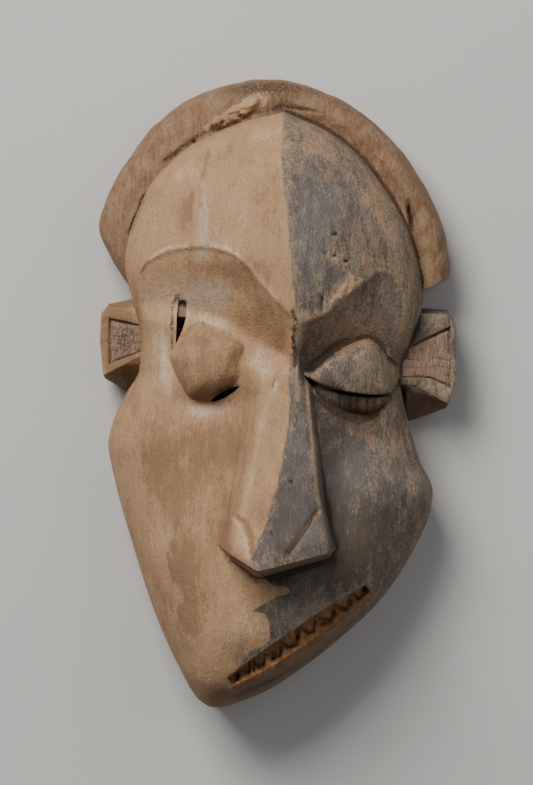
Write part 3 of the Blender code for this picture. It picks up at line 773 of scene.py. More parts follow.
@dataclass(frozen=True)
class Mouth:
    """The slanting mouth: a slot with two rows of filed teeth, a deep line between them and pits."""

    face: Face
    start: Point = (-22.5, -136.0)
    end: Point = (42.5, -93.0)
    half_width: float = 4.6
    sag: float = 1.5
    depth: float = 2.6
    along: int = 210
    across: int = 34
    reach: float = 12.0

    @property
    def length(self) -> float:
        """Length of the slot."""
        return math.dist(self.start, self.end)

    def place(self, along: Array, across: Array) -> tuple[Array, Array]:
        """A place in the mouth from the way along its slot and across it, towards the nose."""
        c, s = (self.end[0] - self.start[0]) / self.length, (self.end[1] - self.start[1]) / self.length
        return self.start[0] + along * c - across * s, self.start[1] + along * s + across * c

    def local(self, x: Array, y: Array) -> tuple[Array, Array]:
        """The way along the slot and across it of a place in the plan."""
        c, s = (self.end[0] - self.start[0]) / self.length, (self.end[1] - self.start[1]) / self.length
        dx, dy = x - self.start[0], y - self.start[1]
        return dx * c + dy * s, dy * c - dx * s

    def bounds(self, along: Array) -> tuple[Array, Array]:
        """Lower and upper edge of the slot, narrow at its ends."""
        fullness = np.sin(math.pi * (0.1 + 0.8 * along / self.length)) ** 0.5
        return -self.half_width * fullness - self.sag * fullness ** 4, self.half_width * fullness

    def surface(self) -> Surface:
        """The cutter, whose underside is the teeth."""
        along = np.linspace(0, self.length, self.along)[:, None]
        low, high = self.bounds(along)
        share = np.linspace(0, 1, self.across)[None, :]
        across = low + (high - low) * share
        x, y = self.place(along, across)
        base = self.face.height(x, y)
        uneven = 0.25 * waves(x * 3, y * 1.2, 5, 71) + 0.12 * waves(x * 3, y * 0.6, 2.2, 72)
        cleft = 2.5 * np.clip(1.4 - from_path(x + uneven, y, TOOTH_LINE) / 1.05, 0, 1)
        for cx, cy, rx, ry, turn, deep in MOUTH_PITS:
            cleft = np.maximum(cleft, deep * swell(x, y, (cx, cy), (rx, ry), turn))
        bed = -0.5 + (self.depth + 0.5) * step(0, 0.4, share) - 1.1 * step(0.55, 1, share)
        striped = 0.55 * np.clip(np.sin(x * 2.6), 0, 1) ** 2 * (1 - step(16, 26, along))
        z = base - bed - (cleft + striped) * step(0.02, 0.3, share) - uneven * 0.8
        x1, y1 = x[:, [-1]], y[:, [-1]]
        x0, y0 = x[:, [0]], y[:, [0]]
        top = base.max(axis=1, keepdims=True) + self.reach
        rings = np.stack([np.hstack([x, x1, x0]), np.hstack([y, y1, y0]), np.hstack([z, top, top])], -1)
        return Surface.through(rings)


@dataclass(frozen=True)
class Slit:
    """A cut into the wood, given by a line of (x, y, half width, depth) along it."""

    face: Face
    stations: tuple[tuple[float, float, float, float], ...]
    reach: float = 12.0

    def surface(self) -> Surface:
        """The cutter: straight sided, following the face at its own depth."""
        x, y, half, depth = (np.array(column)[:, None] for column in zip(*self.stations))
        dx, dy = np.gradient(x, axis=0), np.gradient(y, axis=0)
        size = np.hypot(dx, dy)
        side = np.array([[1, -1, -1, 1]])
        middle = self.face.height(x, y)
        rise = np.hstack([-depth, -depth, np.full_like(x, self.reach), np.full_like(x, self.reach)])
        rings = [x - dy / size * half * side, y + dx / size * half * side, middle + rise]
        return Surface.through(np.stack(rings, -1))


class Tone(Enum):
    """What the finish reads from the mesh, point by point."""

    DARK = "past_the_dark_line"
    # Heavy and thin clay, with painted highlights and painted shade among its marks.
    CLAY = "white_clay_and_painted_light"
    BLUE = "blue_soot"
    TAN = "rubbed_to_wood"
    # Grime, and painted shade under the nose and lids and in slits, pits and crevices.
    GRIME_AND_SHADE = "grime_and_shade"
    BARE = "bare_wood"
    RED = "red_earth"
    OCHRE = "mouth_ochre"
    INNER = "hollow_side"
    # Painted shade on surfaces that face down, towards the chin.
    UNDER_SHADE = "painted_shade_facing_down"
    FINE = "fine_relief"
    BROAD = "broad_relief"


def vectors(mesh: bpy.types.Mesh, kind: str) -> Array:
    """One vector for every point of a mesh, such as its place, co, or its normal, as rows."""
    found = np.empty(len(mesh.vertices) * 3)
    mesh.vertices.foreach_get(kind, found)
    return found.reshape(-1, 3)


@dataclass(frozen=True)
class Marks:
    """Where one tone lies: soft patches, and soft streaks along lines of places.

    A patch is (x, y, its two radii, strength, turn in degrees if it has one), a streak is (places,
    width, strength).
    """

    patches: tuple[tuple[float, ...], ...]
    streaks: tuple[tuple[tuple[Point, ...], float, float], ...]

    def at(self, x: Array, y: Array) -> Array:
        """The tone at some places, above zero for more of it and below for less."""
        total = sum(strength * swell(x, y, (cx, cy), (rx, ry), *turn)
                    for cx, cy, rx, ry, strength, *turn in self.patches)
        return total + sum(strength * bell(from_path(x, y, places), width)
                           for places, width, strength in self.streaks)


@dataclass(frozen=True)
class Paint:
    """Where the mask carries which paint, wear and dirt, and where shade and highlights are painted on."""

    face: Face
    mouth: Mouth
    ears: dict[Side, Ear]
    dark_line: tuple[Point, ...]
    marks: dict[Tone, Marks]

    def past_line(self, x: Array, y: Array) -> Array:
        """Distance in millimetres from the line between the halves, above zero on the dark side."""
        nearest = from_path(x, y, self.dark_line)
        pale = np.zeros(x.shape, bool)
        for start, end in zip(self.dark_line, self.dark_line[1:]):
            crossed = (start[1] > y) != (end[1] > y)
            rise = np.where(crossed, end[1] - start[1], 1)
            pale ^= crossed & (x < start[0] + (y - start[1]) / rise * (end[0] - start[0]))
        return np.where(pale, -nearest, nearest)

    def lay_on(self, mesh: bpy.types.Mesh) -> None:
        """Works out every tone at every point of the mesh and stores it as an attribute.

        Args:
            mesh: the finished mesh.
        """
        points = vectors(mesh, "co") / MM + ORIGIN
        normals = vectors(mesh, "normal")
        x, y, z = points.T
        inside = self.face.outline.inside(x, y)
        surface = self.face.worn(x, y)
        slope_x, slope_y = self.face.worn(x + 1, y) - surface, self.face.worn(x, y + 1) - surface
        outward = normals[:, 2] - slope_x * normals[:, 0] - slope_y * normals[:, 1]
        seen = np.maximum(step(-2.5, -1, z - surface), step(-0.1, 0.1, outward))
        front = step(-9, -5, z - surface) * step(-0.5, 0.8, inside) * step(-0.5, -0.2, normals[:, 2]) * seen
        outer = step(1.0, -0.2, inside)
        along, across = self.mouth.local(x, y)
        low, high = self.mouth.bounds(np.clip(along, 0, self.mouth.length))
        in_slot = step(-0.6, 0.3, high - across) * step(-1, 0, along)
        in_slot = in_slot * step(1, 0, along - self.mouth.length)
        in_mouth = in_slot * step(-0.6, 0.3, across - low)
        by_lip = in_slot * step(-1.9, -1.3, across - low) * step(0.6, 0.45, (across - low) / (high - low))
        below = step(-0.5, -1.6, z - self.face.height(x, y))
        tones = {tone: marks.at(x, y) * np.maximum(front, outer) for tone, marks in self.marks.items()}
        # Grime and painted shade are weaker where the surface does not face out of the face.
        tones[Tone.GRIME_AND_SHADE] *= 0.3 + 0.7 * step(0.1, 0.45, normals[:, 2])
        tones[Tone.DARK] = self.past_line(x, y) * (1 + 2.5 * step(-78, -85, y))
        filler = step(0.1, 0.6, np.exp(-(from_path(x, y, FILLER) / 3.6) ** 2) + 0.22 * waves(x, y, 6, 44))
        bare = step(0, 3, y - np.where(x > 0, 42.5, 46.5))
        tones[Tone.BARE] = outer * bare - 1.3 * filler * step(0, 0.4, normals[:, 2])
        tones[Tone.RED] = sum(self.in_recess(ear, x, y, z) for ear in self.ears.values())
        shallow = step(-14, -11, z - self.face.height(x, y))
        tones[Tone.OCHRE] = np.maximum(in_mouth * below, by_lip) * shallow
        tones[Tone.INNER] = (1 - front) * (1 - outer) * (1 - tones[Tone.OCHRE])
        # Painted shade: how much a surface faces down, towards the chin.
        tones[Tone.UNDER_SHADE] = step(0.45, 0.9, -normals[:, 1]) * np.maximum(front, outer)
        carved = 1 - tones[Tone.INNER]
        reliefs = self.relief(mesh, points, normals)
        tones[Tone.FINE], tones[Tone.BROAD] = (relief * carved for relief in reliefs)
        for tone, values in tones.items():
            layer = mesh.attributes.new(tone.value, "FLOAT", "POINT")
            layer.data.foreach_set("value", values.astype(np.float32))

    @staticmethod
    def in_recess(ear: Ear, x: Array, y: Array, z: Array) -> Array:
        """Share of the recess's paint at some places, from its outline and its depth."""
        away, angle = polar(x, y, ear.centre)
        near = away < 40
        share = np.zeros_like(x)
        past = away[near] - ear.reach(ear.recess, angle[near])
        share[near] = step(0.4, -0.4, past) * step(-0.5, -1.1, z[near] - ear.top(x[near]))
        return share * (z > 20)

    @staticmethod
    def relief(mesh: bpy.types.Mesh, points: Array, normals: Array) -> tuple[Array, Array]:
        """How far each point stands out of its own smoothed surroundings, close by and further off.

        The points are replaced by the mean of their neighbours again and again; the difference along
        the surface's normal is in millimetres, above zero on ridges and below in grooves.
        """
        edges = np.empty(len(mesh.edges) * 2, dtype=np.int64)
        mesh.edges.foreach_get("vertices", edges)
        a, b = edges.reshape(-1, 2).T
        count = np.bincount(np.concatenate([a, b]), minlength=len(points))[:, None]
        soft, found = points.copy(), []
        for rounds in (3, 25):
            for _ in range(rounds):
                sums = (np.bincount(a, soft[b, i], len(points)) + np.bincount(b, soft[a, i], len(points))
                        for i in range(3))
                soft = np.stack(list(sums), -1) / count
            found.append(((points - soft) * normals).sum(axis=1))
        return found[0], found[1]


@dataclass
class Graph:
    """A material's nodes, joined by short calls, with the noises that its paints share."""

    material: bpy.types.Material

    def __post_init__(self) -> None:
        """Finds the shader and makes the noises, each about 0.5 on average."""
        self.shader = self.material.node_tree.nodes["Principled BSDF"]
        self.noises = {name: self.noise(*measures) for name, measures in NOISES.items()}

    def node(self, kind: str, **settings) -> bpy.types.Node:
        """A new node with some of its settings."""
        made = self.material.node_tree.nodes.new(kind)
        for name, value in settings.items():
            setattr(made, name, value)
        return made

    def join(self, source: Value, socket: bpy.types.NodeSocket) -> None:
        """Feeds a socket from another, or sets it to a plain number or colour."""
        if isinstance(source, bpy.types.NodeSocket):
            self.material.node_tree.links.new(source, socket)
        else:
            socket.default_value = source

    def tone(self, tone: Tone) -> Value:
        """One of the tones on the mesh."""
        return self.node("ShaderNodeAttribute", attribute_name=tone.value).outputs["Fac"]

    def noise(self, size: tuple[float, float, float], detail: float, rough: float, shift: float) -> Value:
        """A noise whose blots measure about the given millimetres along X, Y and Z.

        Args:
            size: the blots' size.
            detail: how many finer layers lie in it.
            rough: how strong those are.
            shift: moves it, so that two of the same size differ.

        Returns:
            Its value, about 0.5 on average.
        """
        place = self.node("ShaderNodeTexCoord").outputs["Object"]
        scaled = self.node("ShaderNodeMapping")
        scaled.inputs["Scale"].default_value = tuple(1000.0 / part for part in size)
        scaled.inputs["Location"].default_value = (shift, shift * 0.7, -shift)
        made = self.node("ShaderNodeTexNoise")
        made.inputs["Scale"].default_value = 1.0
        made.inputs["Detail"].default_value = detail
        made.inputs["Roughness"].default_value = rough
        self.join(place, scaled.inputs["Vector"])
        self.join(scaled.outputs["Vector"], made.inputs["Vector"])
        return made.outputs["Fac"]

    def chain(self, kind: str, *values: Value) -> Value:
        """The values joined one after the other by a sum such as ADD or MULTIPLY."""
        total = values[0]
        for value in values[1:]:
            made = self.node("ShaderNodeMath", operation=kind)
            self.join(total, made.inputs[0])
            self.join(value, made.inputs[1])
            total = made.outputs[0]
        return total

    def add(self, *values: Value) -> Value:
        """All the values added up."""
        return self.chain("ADD", *values)

    def times(self, *values: Value) -> Value:
        """All the values multiplied."""
        return self.chain("MULTIPLY", *values)

    def vary(self, start: Value, **strengths: float) -> Value:
        """A value plus how far the named noises are off their average, each times its strength."""
        offs = (self.times(self.add(self.noises[name], -0.5), by) for name, by in strengths.items())
        return self.add(start, *offs)

    def ramp(self, value: Value, start: float, end: float, low: float = 0.0, high: float = 1.0) -> Value:
        """A smooth step in a value, from low at start to high at end."""
        made = self.node("ShaderNodeMapRange", interpolation_type="SMOOTHSTEP")
        self.join(value, made.inputs["Value"])
        falls = start > end
        made.inputs["From Min"].default_value, made.inputs["From Max"].default_value = sorted((start, end))
        made.inputs["To Min"].default_value = high if falls else low
        made.inputs["To Max"].default_value = low if falls else high
        return made.outputs["Result"]

    def mix(self, share: Value, first: Value, second: Value) -> Value:
        """Two colours mixed, the second by the share."""
        made = self.node("ShaderNodeMix", data_type="RGBA")
        for name, value in (("Factor_Float", share), ("A_Color", first), ("B_Color", second)):
            socket = next(each for each in made.inputs if each.identifier == name)
            self.join(value if isinstance(value, (float, bpy.types.NodeSocket)) else (*value, 1.0), socket)
        return next(each for each in made.outputs if each.identifier == "Result_Color")

    def lay(self, under: Value, over: Value, value: Value, start: float, end: float,
            most: float = 1.0) -> Value:
        """One colour laid over another as a value passes from start to end, at most by some share."""
        share = self.ramp(value, start, end)
        return self.mix(share if most == 1.0 else self.times(share, most), under, over)


NOISES = {"grain": ((1.3, 17, 2.2), 5, 0.62, 0.0), "scratch": ((0.5, 5.5, 0.8), 3, 0.55, 4.1),
          "stain": ((24, 34, 26), 5, 0.58, 2.3), "mottle": ((6, 9, 6), 7, 0.66, 7.7),
          "grit": ((1.1, 1.4, 1.1), 4, 0.7, 1.9), "wash": ((3.4, 26, 5), 5, 0.6, 5.5),
          "dust": ((0.55, 0.8, 0.55), 3, 0.6, 3.3)}


@dataclass(frozen=True)
class PaintedWood:
    """The mask's finish: light wood under white clay on one half and blue-black soot on the other, with
    painted shade and painted highlights.
    """

    wood: Colour = (0.345, 0.2, 0.105)
    # Deep wood brown, also laid as painted shade on surfaces that face down.
    wood_deep: Colour = (0.19, 0.105, 0.055)
    rubbed: Colour = (0.45, 0.245, 0.115)
    clay: Colour = (0.465, 0.282, 0.152)
    # The whiter clay also serves as painted highlight, the stained clay as painted shade.
    clay_white_and_highlight: Colour = (0.66, 0.50, 0.35)
    clay_stained_and_shade: Colour = (0.29, 0.17, 0.09)
    clay_grey: Colour = (0.43, 0.325, 0.23)
    soot: Colour = (0.105, 0.087, 0.073)
    soot_blue: Colour = (0.165, 0.149, 0.14)
    soot_brown: Colour = (0.14, 0.092, 0.058)
    ash: Colour = (0.38, 0.275, 0.185)
    red_earth: Colour = (0.25, 0.145, 0.105)
    ochre: Colour = (0.20, 0.088, 0.034)
    # Dark brown for grime and for painted shade.
    grime_and_shade: Colour = (0.04, 0.026, 0.017)
    inside: Colour = (0.13, 0.07, 0.038)

    def material(self) -> bpy.types.Material:
        """Builds the material.

        Returns:
            The material, which reads Object coordinates and the mesh's tones alone.
        """
        made = bpy.data.materials.new("clay_and_soot_on_wood")
        made.use_nodes = True
        graph = Graph(made)
        noises, fine = graph.noises, graph.tone(Tone.FINE)
        relief = graph.add(graph.times(fine, 2.0), graph.tone(Tone.BROAD))
        groove, crease = graph.ramp(relief, -0.25, -1.8), graph.ramp(fine, -0.3, -1.0)
        wood = self.wood_colour(graph)
        dark = self.dark_colour(graph, graph.ramp(relief, 0.25, 1.3))
        half = graph.ramp(graph.vary(graph.tone(Tone.DARK), mottle=5.5, grit=3.4), -0.3, 0.3)
        colour = graph.mix(half, self.pale_colour(graph, wood), dark)
        worn = graph.vary(graph.tone(Tone.TAN), mottle=1.3, scratch=0.6)
        colour = graph.lay(colour, graph.lay(self.rubbed, self.wood, noises["grain"], 0.35, 0.65),
                           worn, 0.3, 0.8, 0.75)
        colour = graph.lay(colour, wood, graph.vary(graph.tone(Tone.BARE), grit=0.5), 0.35, 0.65)
        red = graph.lay(self.red_earth, self.ash, noises["scratch"], 0.4, 0.65)
        colour = graph.mix(graph.times(graph.tone(Tone.RED), 0.9), colour, red)
        reddish = graph.vary(noises["grain"], mottle=0.9, grit=0.5)
        ochre = graph.lay(self.ochre, self.rubbed, reddish, 0.35, 0.95)
        colour = graph.mix(graph.tone(Tone.OCHRE), colour, ochre)
        inner = graph.lay(self.inside, self.wood_deep, noises["grain"], 0.38, 0.68)
        colour = graph.mix(graph.tone(Tone.INNER), colour, inner)
        # Painted shade: surfaces that face down turn deep wood brown, broken up by a noise.
        under = graph.times(graph.tone(Tone.UNDER_SHADE), graph.ramp(noises["mottle"], 0.3, 0.55, 0.55, 0.85))
        colour = graph.mix(under, colour, self.wood_deep)
        # Grime and painted shade: where the grime tone lies, in grooves on the dark half and in fine
        # creases all over, the colour turns dark brown.
        broken = graph.times(graph.tone(Tone.GRIME_AND_SHADE), graph.ramp(noises["grit"], 0.36, 0.56, 0.5, 1.25))
        dirt_and_shade = graph.add(broken, graph.times(groove, half, 0.8), graph.times(crease, 0.5))
        colour = graph.lay(colour, self.grime_and_shade, graph.vary(dirt_and_shade, mottle=0.7, grit=0.5), 0.2, 1.0, 0.85)
        graph.join(colour, graph.shader.inputs["Base Color"])
        rough = graph.add(graph.times(graph.ramp(noises["mottle"], 0.3, 0.7), 0.16), 0.66)
        graph.join(rough, graph.shader.inputs["Roughness"])
        graph.shader.inputs["Specular IOR Level"].default_value = 0.3
        self.bumps(graph)
        return made

    def wood_colour(self, graph: Graph) -> Value:
        """Bare wood: light brown with a darker grain, broad stains and dust."""
        streaky = graph.vary(graph.noises["grain"], grit=0.6, mottle=0.5)
        wood = graph.lay(self.wood_deep, self.wood, streaky, 0.26, 0.74)
        wood = graph.lay(wood, self.wood_deep, graph.noises["stain"], 0.42, 0.62, 0.5)
        return graph.lay(wood, self.ash, graph.vary(graph.noises["mottle"], dust=0.5), 0.42, 0.66, 0.45)

    def pale_colour(self, graph: Graph, wood: Value) -> Value:
        """The pale half: clay, whiter where its coat is heavy and at painted highlights, stained where it
        is rubbed thin and in painted shade.
        """
        # Clay coat, heavier above zero and thinner below, with painted highlights above zero and painted
        # shade below.
        clay_coat_and_light = graph.vary(graph.tone(Tone.CLAY), stain=1.5, mottle=1.3, wash=1.5, scratch=1.5, grit=1.4)
        grey = graph.vary(graph.tone(Tone.BLUE), mottle=1.2)
        clay = graph.lay(self.clay, self.clay_grey, grey, 0.1, 0.9)
        clay = graph.lay(clay, self.clay_white_and_highlight, clay_coat_and_light, 0.05, 1.0)
        clay = graph.lay(clay, self.clay_stained_and_shade, clay_coat_and_light, 0.0, -0.9)
        grit, grain = graph.noises["grit"], graph.noises["grain"]
        bitten = graph.add(graph.times(grit, 0.7), graph.times(grain, 0.6), graph.times(clay_coat_and_light, -0.12))
        clay = graph.lay(clay, wood, bitten, 0.72, 0.9, 0.6)
        return graph.lay(clay, self.clay_stained_and_shade, graph.vary(grit, mottle=0.7), 0.57, 0.66, 0.7)

    def dark_colour(self, graph: Graph, ridge: Value) -> Value:
        """The dark half: soot that turns blue-grey or brown, with ashy dust rubbed into it, and ash laid as
        painted light in the right socket.
        """
        cool = graph.vary(graph.tone(Tone.BLUE), stain=1.4, mottle=1.2)
        dark = graph.lay(self.soot, self.soot_blue, cool, -0.2, 0.9)
        dark = graph.lay(dark, self.soot_brown, cool, 0.0, -0.9)
        clay = graph.tone(Tone.CLAY)
        # Ashy dust, and painted light where the clay tone lifts the right socket.
        dust_and_painted_light = graph.vary(graph.times(clay, 0.3), mottle=1.0, scratch=0.9, grit=1.2, wash=0.7)
        dark = graph.lay(dark, self.ash, graph.add(dust_and_painted_light, graph.times(ridge, 0.15)), -0.12, 0.4, 0.7)
        flaked = graph.vary(graph.times(clay, 0.15), grit=0.9, mottle=0.7)
        return graph.lay(dark, self.clay, graph.add(flaked, graph.times(ridge, 0.12)), 0.2, 0.3, 0.8)

    def bumps(self, graph: Graph) -> None:
        """Fine unevenness: the grain, the brushed coat and pits in it."""
        weights = {"grain": 0.5, "scratch": 0.4, "grit": 0.6, "mottle": 0.8}
        bump = graph.node("ShaderNodeBump")
        bump.inputs["Strength"].default_value = 0.7
        bump.inputs["Distance"].default_value = 0.0015
        height = graph.add(*(graph.times(graph.noises[name], weight) for name, weight in weights.items()))
        graph.join(height, bump.inputs["Height"])
        graph.join(bump.outputs["Normal"], graph.shader.inputs["Normal"])


@dataclass
class Carving:
    """The whole mask: joins its carved forms, cuts it, and paints what the finish reads."""

    face: Face
    nose: Nose
    brim: HairBrim
    ears: dict[Side, Ear]
    hollow: Hollow
    mouth: Mouth
    slits: tuple[Slit, ...]
    paint: Paint
    finish: PaintedWood = PaintedWood()
    name: str = "mask_carving"

    def build(self) -> bpy.types.Object:
        """Makes the finished mesh.

        Returns:
            The mask as one closed object at the origin.
        """
        blank = self.face.surface().mesh_object(self.name)
        joined = [self.nose, self.brim, *self.ears.values()]
        cutters = [self.hollow, self.mouth, *self.slits]
        self.boolean(blank, joined, "UNION")
        self.boolean(blank, cutters, "DIFFERENCE")
        self.trim_below(blank)
        mesh = blank.data
        mesh.polygons.foreach_set("use_smooth", [True] * len(mesh.polygons))
        mesh.set_sharp_from_angle(angle=math.radians(SHARP_DEGREES))
        self.paint.lay_on(mesh)
        mesh.materials.clear()
        mesh.materials.append(self.finish.material())
        log.info("%s: %d points, %d faces", self.name, len(mesh.vertices), len(mesh.polygons))
        return blank

    def boolean(self, target: bpy.types.Object, forms: Sequence, operation: str) -> None:
        """Joins or cuts the target with some forms, applied to its mesh.

        Args:
            target: the object that changes.
            forms: what has a surface method.
            operation: UNION or DIFFERENCE.
        """
        group = bpy.data.collections.new(operation)
        bpy.context.scene.collection.children.link(group)
        for form in forms:
            part = form.surface().mesh_object(type(form).__name__)
            bpy.context.collection.objects.unlink(part)
            group.objects.link(part)
        change = target.modifiers.new(operation, "BOOLEAN")
        change.operation = operation
        change.solver = "MANIFOLD"
        change.operand_type = "COLLECTION"
        change.collection = group
        seen = target.evaluated_get(bpy.context.evaluated_depsgraph_get())
        old, target.data = target.data, bpy.data.meshes.new_from_object(seen)
        target.data.name = self.name
        target.modifiers.clear()
        bpy.data.meshes.remove(old)
        for part in list(group.objects):
            bpy.data.meshes.remove(part.data)
        bpy.data.collections.remove(group)

    def trim_below(self, target: bpy.types.Object) -> None:
        """Cuts the back flat at the rim's plane and closes it."""
        work = bmesh.new()
        work.from_mesh(target.data)
        parts = work.verts[:] + work.edges[:] + work.faces[:]
        bmesh.ops.bisect_plane(work, geom=parts, plane_co=(0, 0, 0), plane_no=(0, 0, 1), clear_inner=True)
        border = [edge for edge in work.edges if edge.is_boundary]
        bmesh.ops.triangle_fill(work, edges=border, use_beauty=True)
        bmesh.ops.recalc_face_normals(work, faces=work.faces)
        bmesh.ops.triangulate(work, faces=work.faces)
        work.to_mesh(target.data)
        work.free()


class Studio:
    """The pale floor, the soft light and the camera straight over the mask."""

    @staticmethod
    def floor() -> bpy.types.Object:
        """A wide pale floor at the rim's level."""
        mesh = bpy.data.meshes.new("studio_floor")
        square = ((-1, -1), (1, -1), (1, 1), (-1, 1))
        corners = [(FLOOR_REACH * x, FLOOR_REACH * y, -FLOOR_GAP) for x, y in square]
        mesh.from_pydata(corners, [], [(0, 1, 2, 3)])
        floor = bpy.data.objects.new("studio_floor", mesh)
        bpy.context.collection.objects.link(floor)
        material = bpy.data.materials.new("studio_floor")
        material.use_nodes = True
        shader = material.node_tree.nodes["Principled BSDF"]
        shader.inputs["Base Color"].default_value = (0.62, 0.61, 0.59, 1)
        shader.inputs["Roughness"].default_value = 0.9
        mesh.materials.append(material)
        return floor

    @staticmethod
    def light(name: str, place: tuple[float, float, float], watts: float, size: float, tint: tuple) -> None:
        """A square soft light that faces the mask."""
        data = bpy.data.lights.new(name, "AREA")
        data.energy, data.size, data.color = watts, size, tint
        lamp = bpy.data.objects.new(name, data)
        lamp.location = place
        aim = Vector((0, 0, 0.05)) - Vector(place)
        lamp.rotation_euler = aim.to_track_quat("-Z", "Y").to_euler()
        bpy.context.collection.objects.link(lamp)

    @staticmethod
    def camera() -> None:
        """A long lens 2 m above the face, its view 376 mm high at the height of the ears."""
        data = bpy.data.cameras.new("camera")
        data.sensor_fit = "VERTICAL"
        data.sensor_height = SENSOR
        data.lens = SENSOR * VIEW_DISTANCE / VIEW_HEIGHT
        data.clip_end = 20.0
        camera = bpy.data.objects.new("camera", data)
        camera.location = CAMERA_PLACE
        bpy.context.collection.objects.link(camera)
        bpy.context.scene.camera = camera

    @classmethod
    def build(cls) -> None:
        """Sets up the floor, the lights, the sky and the camera."""
        cls.floor()
        cls.light("key_light", (-0.62, 1.0, 1.35), 36.0, 0.9, (1.0, 0.97, 0.93))
        cls.light("fill_light", (1.3, 0.5, 1.7), 6.0, 1.2, (1.0, 0.97, 0.95))
        world = bpy.data.worlds.new("studio")
        world.use_nodes = True
        sky = world.node_tree.nodes["Background"].inputs
        sky["Color"].default_value = (0.9, 0.95, 1.0, 1)
        sky["Strength"].default_value = 0.17
        bpy.context.scene.world = world
        cls.camera()


MOUNDS = ((-26, -22, 13, 26, 8, -4.0), (29, -38, 11, 30, -8, -6.0), (56, -48, 20, 12, -10, 3.0),
          (-66, -24, 16, 14, 0, 2.5), (-36, -8, 20, 8, -10, -3.0))
BROW_WEDGE = ((22.5, 39.5), (42.0, 56.5))
BROW_GROOVE = ((28.5, 41.5), (40.0, 50.5))
SCAR = ((-36.6, 88), (-34.2, 57))
CREVICE = ((6.6, 40), (8.2, 13))
GOUGE = ((20.4, 44.5), (20.0, 38.5))
NOSTRIL = ((19.5, -54.0), (4.5, -74.5))
LEAF = ((-20.1, -57.9), (-16.4, -61.1), (-13.4, -67.7), (-12.6, -76))
NOSE_PITS = ((6.3, -41.5, 1.0), (-2.6, -65.5, 0.9), (3.5, 6.8, 0.7))
TOOTH_LINE = ((-19.8, -134.8), (-18.4, -131.6), (-14.2, -131.6), (-13.2, -126.9), (-7.6, -129.7),
              (-6.2, -123.6), (-2.9, -125.5), (0.8, -123.6), (1.3, -117.5), (4.1, -119.8), (8.3, -118.9),
              (8.3, -112.3), (10.2, -110.9), (14, -113.3), (16.3, -112.3), (17.2, -105.8), (24.8, -108.1),
              (25.7, -100.6), (32.3, -102.9), (33.7, -96.4), (36, -96.4), (38.8, -98.7), (40.2, -91.2))
MOUTH_PITS = ((-19.4, -133, 1.3, 2.3, -35, 4.5), (-2.9, -124, 3.2, 2.2, 30, 3.4),
              (-2.4, -125, 1.4, 1.2, 0, 4.5), (8.8, -115, 1.1, 3.2, 0, 3.8),
              (22, -108.8, 3.4, 1.2, 15, 3.0), (33.5, -99.2, 1.4, 2.6, 0, 3.4),
              (40.4, -93.2, 1.6, 3.0, -20, 4.2), (-11.5, -128.5, 0.7, 2.2, 0, 2.4),
              (-8.2, -129, 0.6, 2.2, 0, 2.2), (26, -104, 0.8, 3.0, 0, 3.0))
LIP_LINE = ((-22.5, -139.5), (-7.6, -132.6), (10.2, -123.7), (20, -116.4), (29, -108.4), (40, -98))
BELOW_LIP = tuple((x + 2.2, y - 4.4) for x, y in LIP_LINE)
FOREHEAD_CHIPS = ((31.5, 61.5, 1.6, 1.0, -15, 1.5), (26, 63.8, 1.4, 0.9, 20, 1.3),
                  (26.5, 74, 1.8, 1.1, 30, 1.4), (22, 65, 1.0, 0.8, 0, 1.0), (27, 101, 2.2, 0.8, 25, 0.9),
                  (35, 98, 1.6, 0.7, 10, 0.9), (33, 105, 1.2, 0.7, -10, 0.9),
                  (-35.2, 109.5, 0.9, 1.6, 15, 1.0), (16, 76, 1.0, 0.8, 0, 0.9))
FILLER = ((-32, 125.5), (-8, 141))
BRIM_SPLITS = (((-63.5, 95.5), (-71, 75.5), 0.6, 1.6), ((-56, 108), (-36, 123.5), 1.6, 1.2),
               ((62.4, 91), (64.4, 78), 1.3, 4.5), ((-74, 108), (-66, 98), 0.7, 0.7),
               ((2, 137), (24, 133), 0.8, 0.8), ((74, 62), (83, 74), 0.7, 0.7))
BRIM_HOLES = ((-18, 132, 1.3, 2.6), (-30.5, 126.6, 1.4, 2.6), (-13.5, 139, 0.9, 1.6),
              (-40, 119.5, 1.2, 2.0), (-26.5, 128.5, 1.1, 3.0), (-24, 127, 0.8, 1.6), (-48, 113, 1.2, 1.2))
DARK_LINE = ((2.3, 160), (2.3, 123.7), (1.3, 109), (3.6, 89.8), (5, 70.9), (6.3, 52.3), (7.3, 43),
             (8.2, 29.1), (6.4, 19.9), (5.5, 9.6), (5, -3.5), (4, -17.5), (1.7, -31.3), (-0.6, -42.8),
             (-5.3, -58.8), (-9.9, -70.1), (-12.6, -76.9), (-10.8, -81.4), (-7.6, -85.2), (-2.9, -90),
             (2.2, -90.6), (4.1, -90.9), (5.9, -93), (3.5, -94.5), (-0.1, -95), (-2.9, -96.9),
             (-7.6, -99.2), (-12.3, -102), (-6.2, -103.4), (-4.3, -107.2), (-3.9, -115.8), (-7.6, -119.1),
             (-13.2, -120.9), (-16.5, -125.2), (-21.3, -133.4), (-21, -138), (-16, -141), (-12, -160))
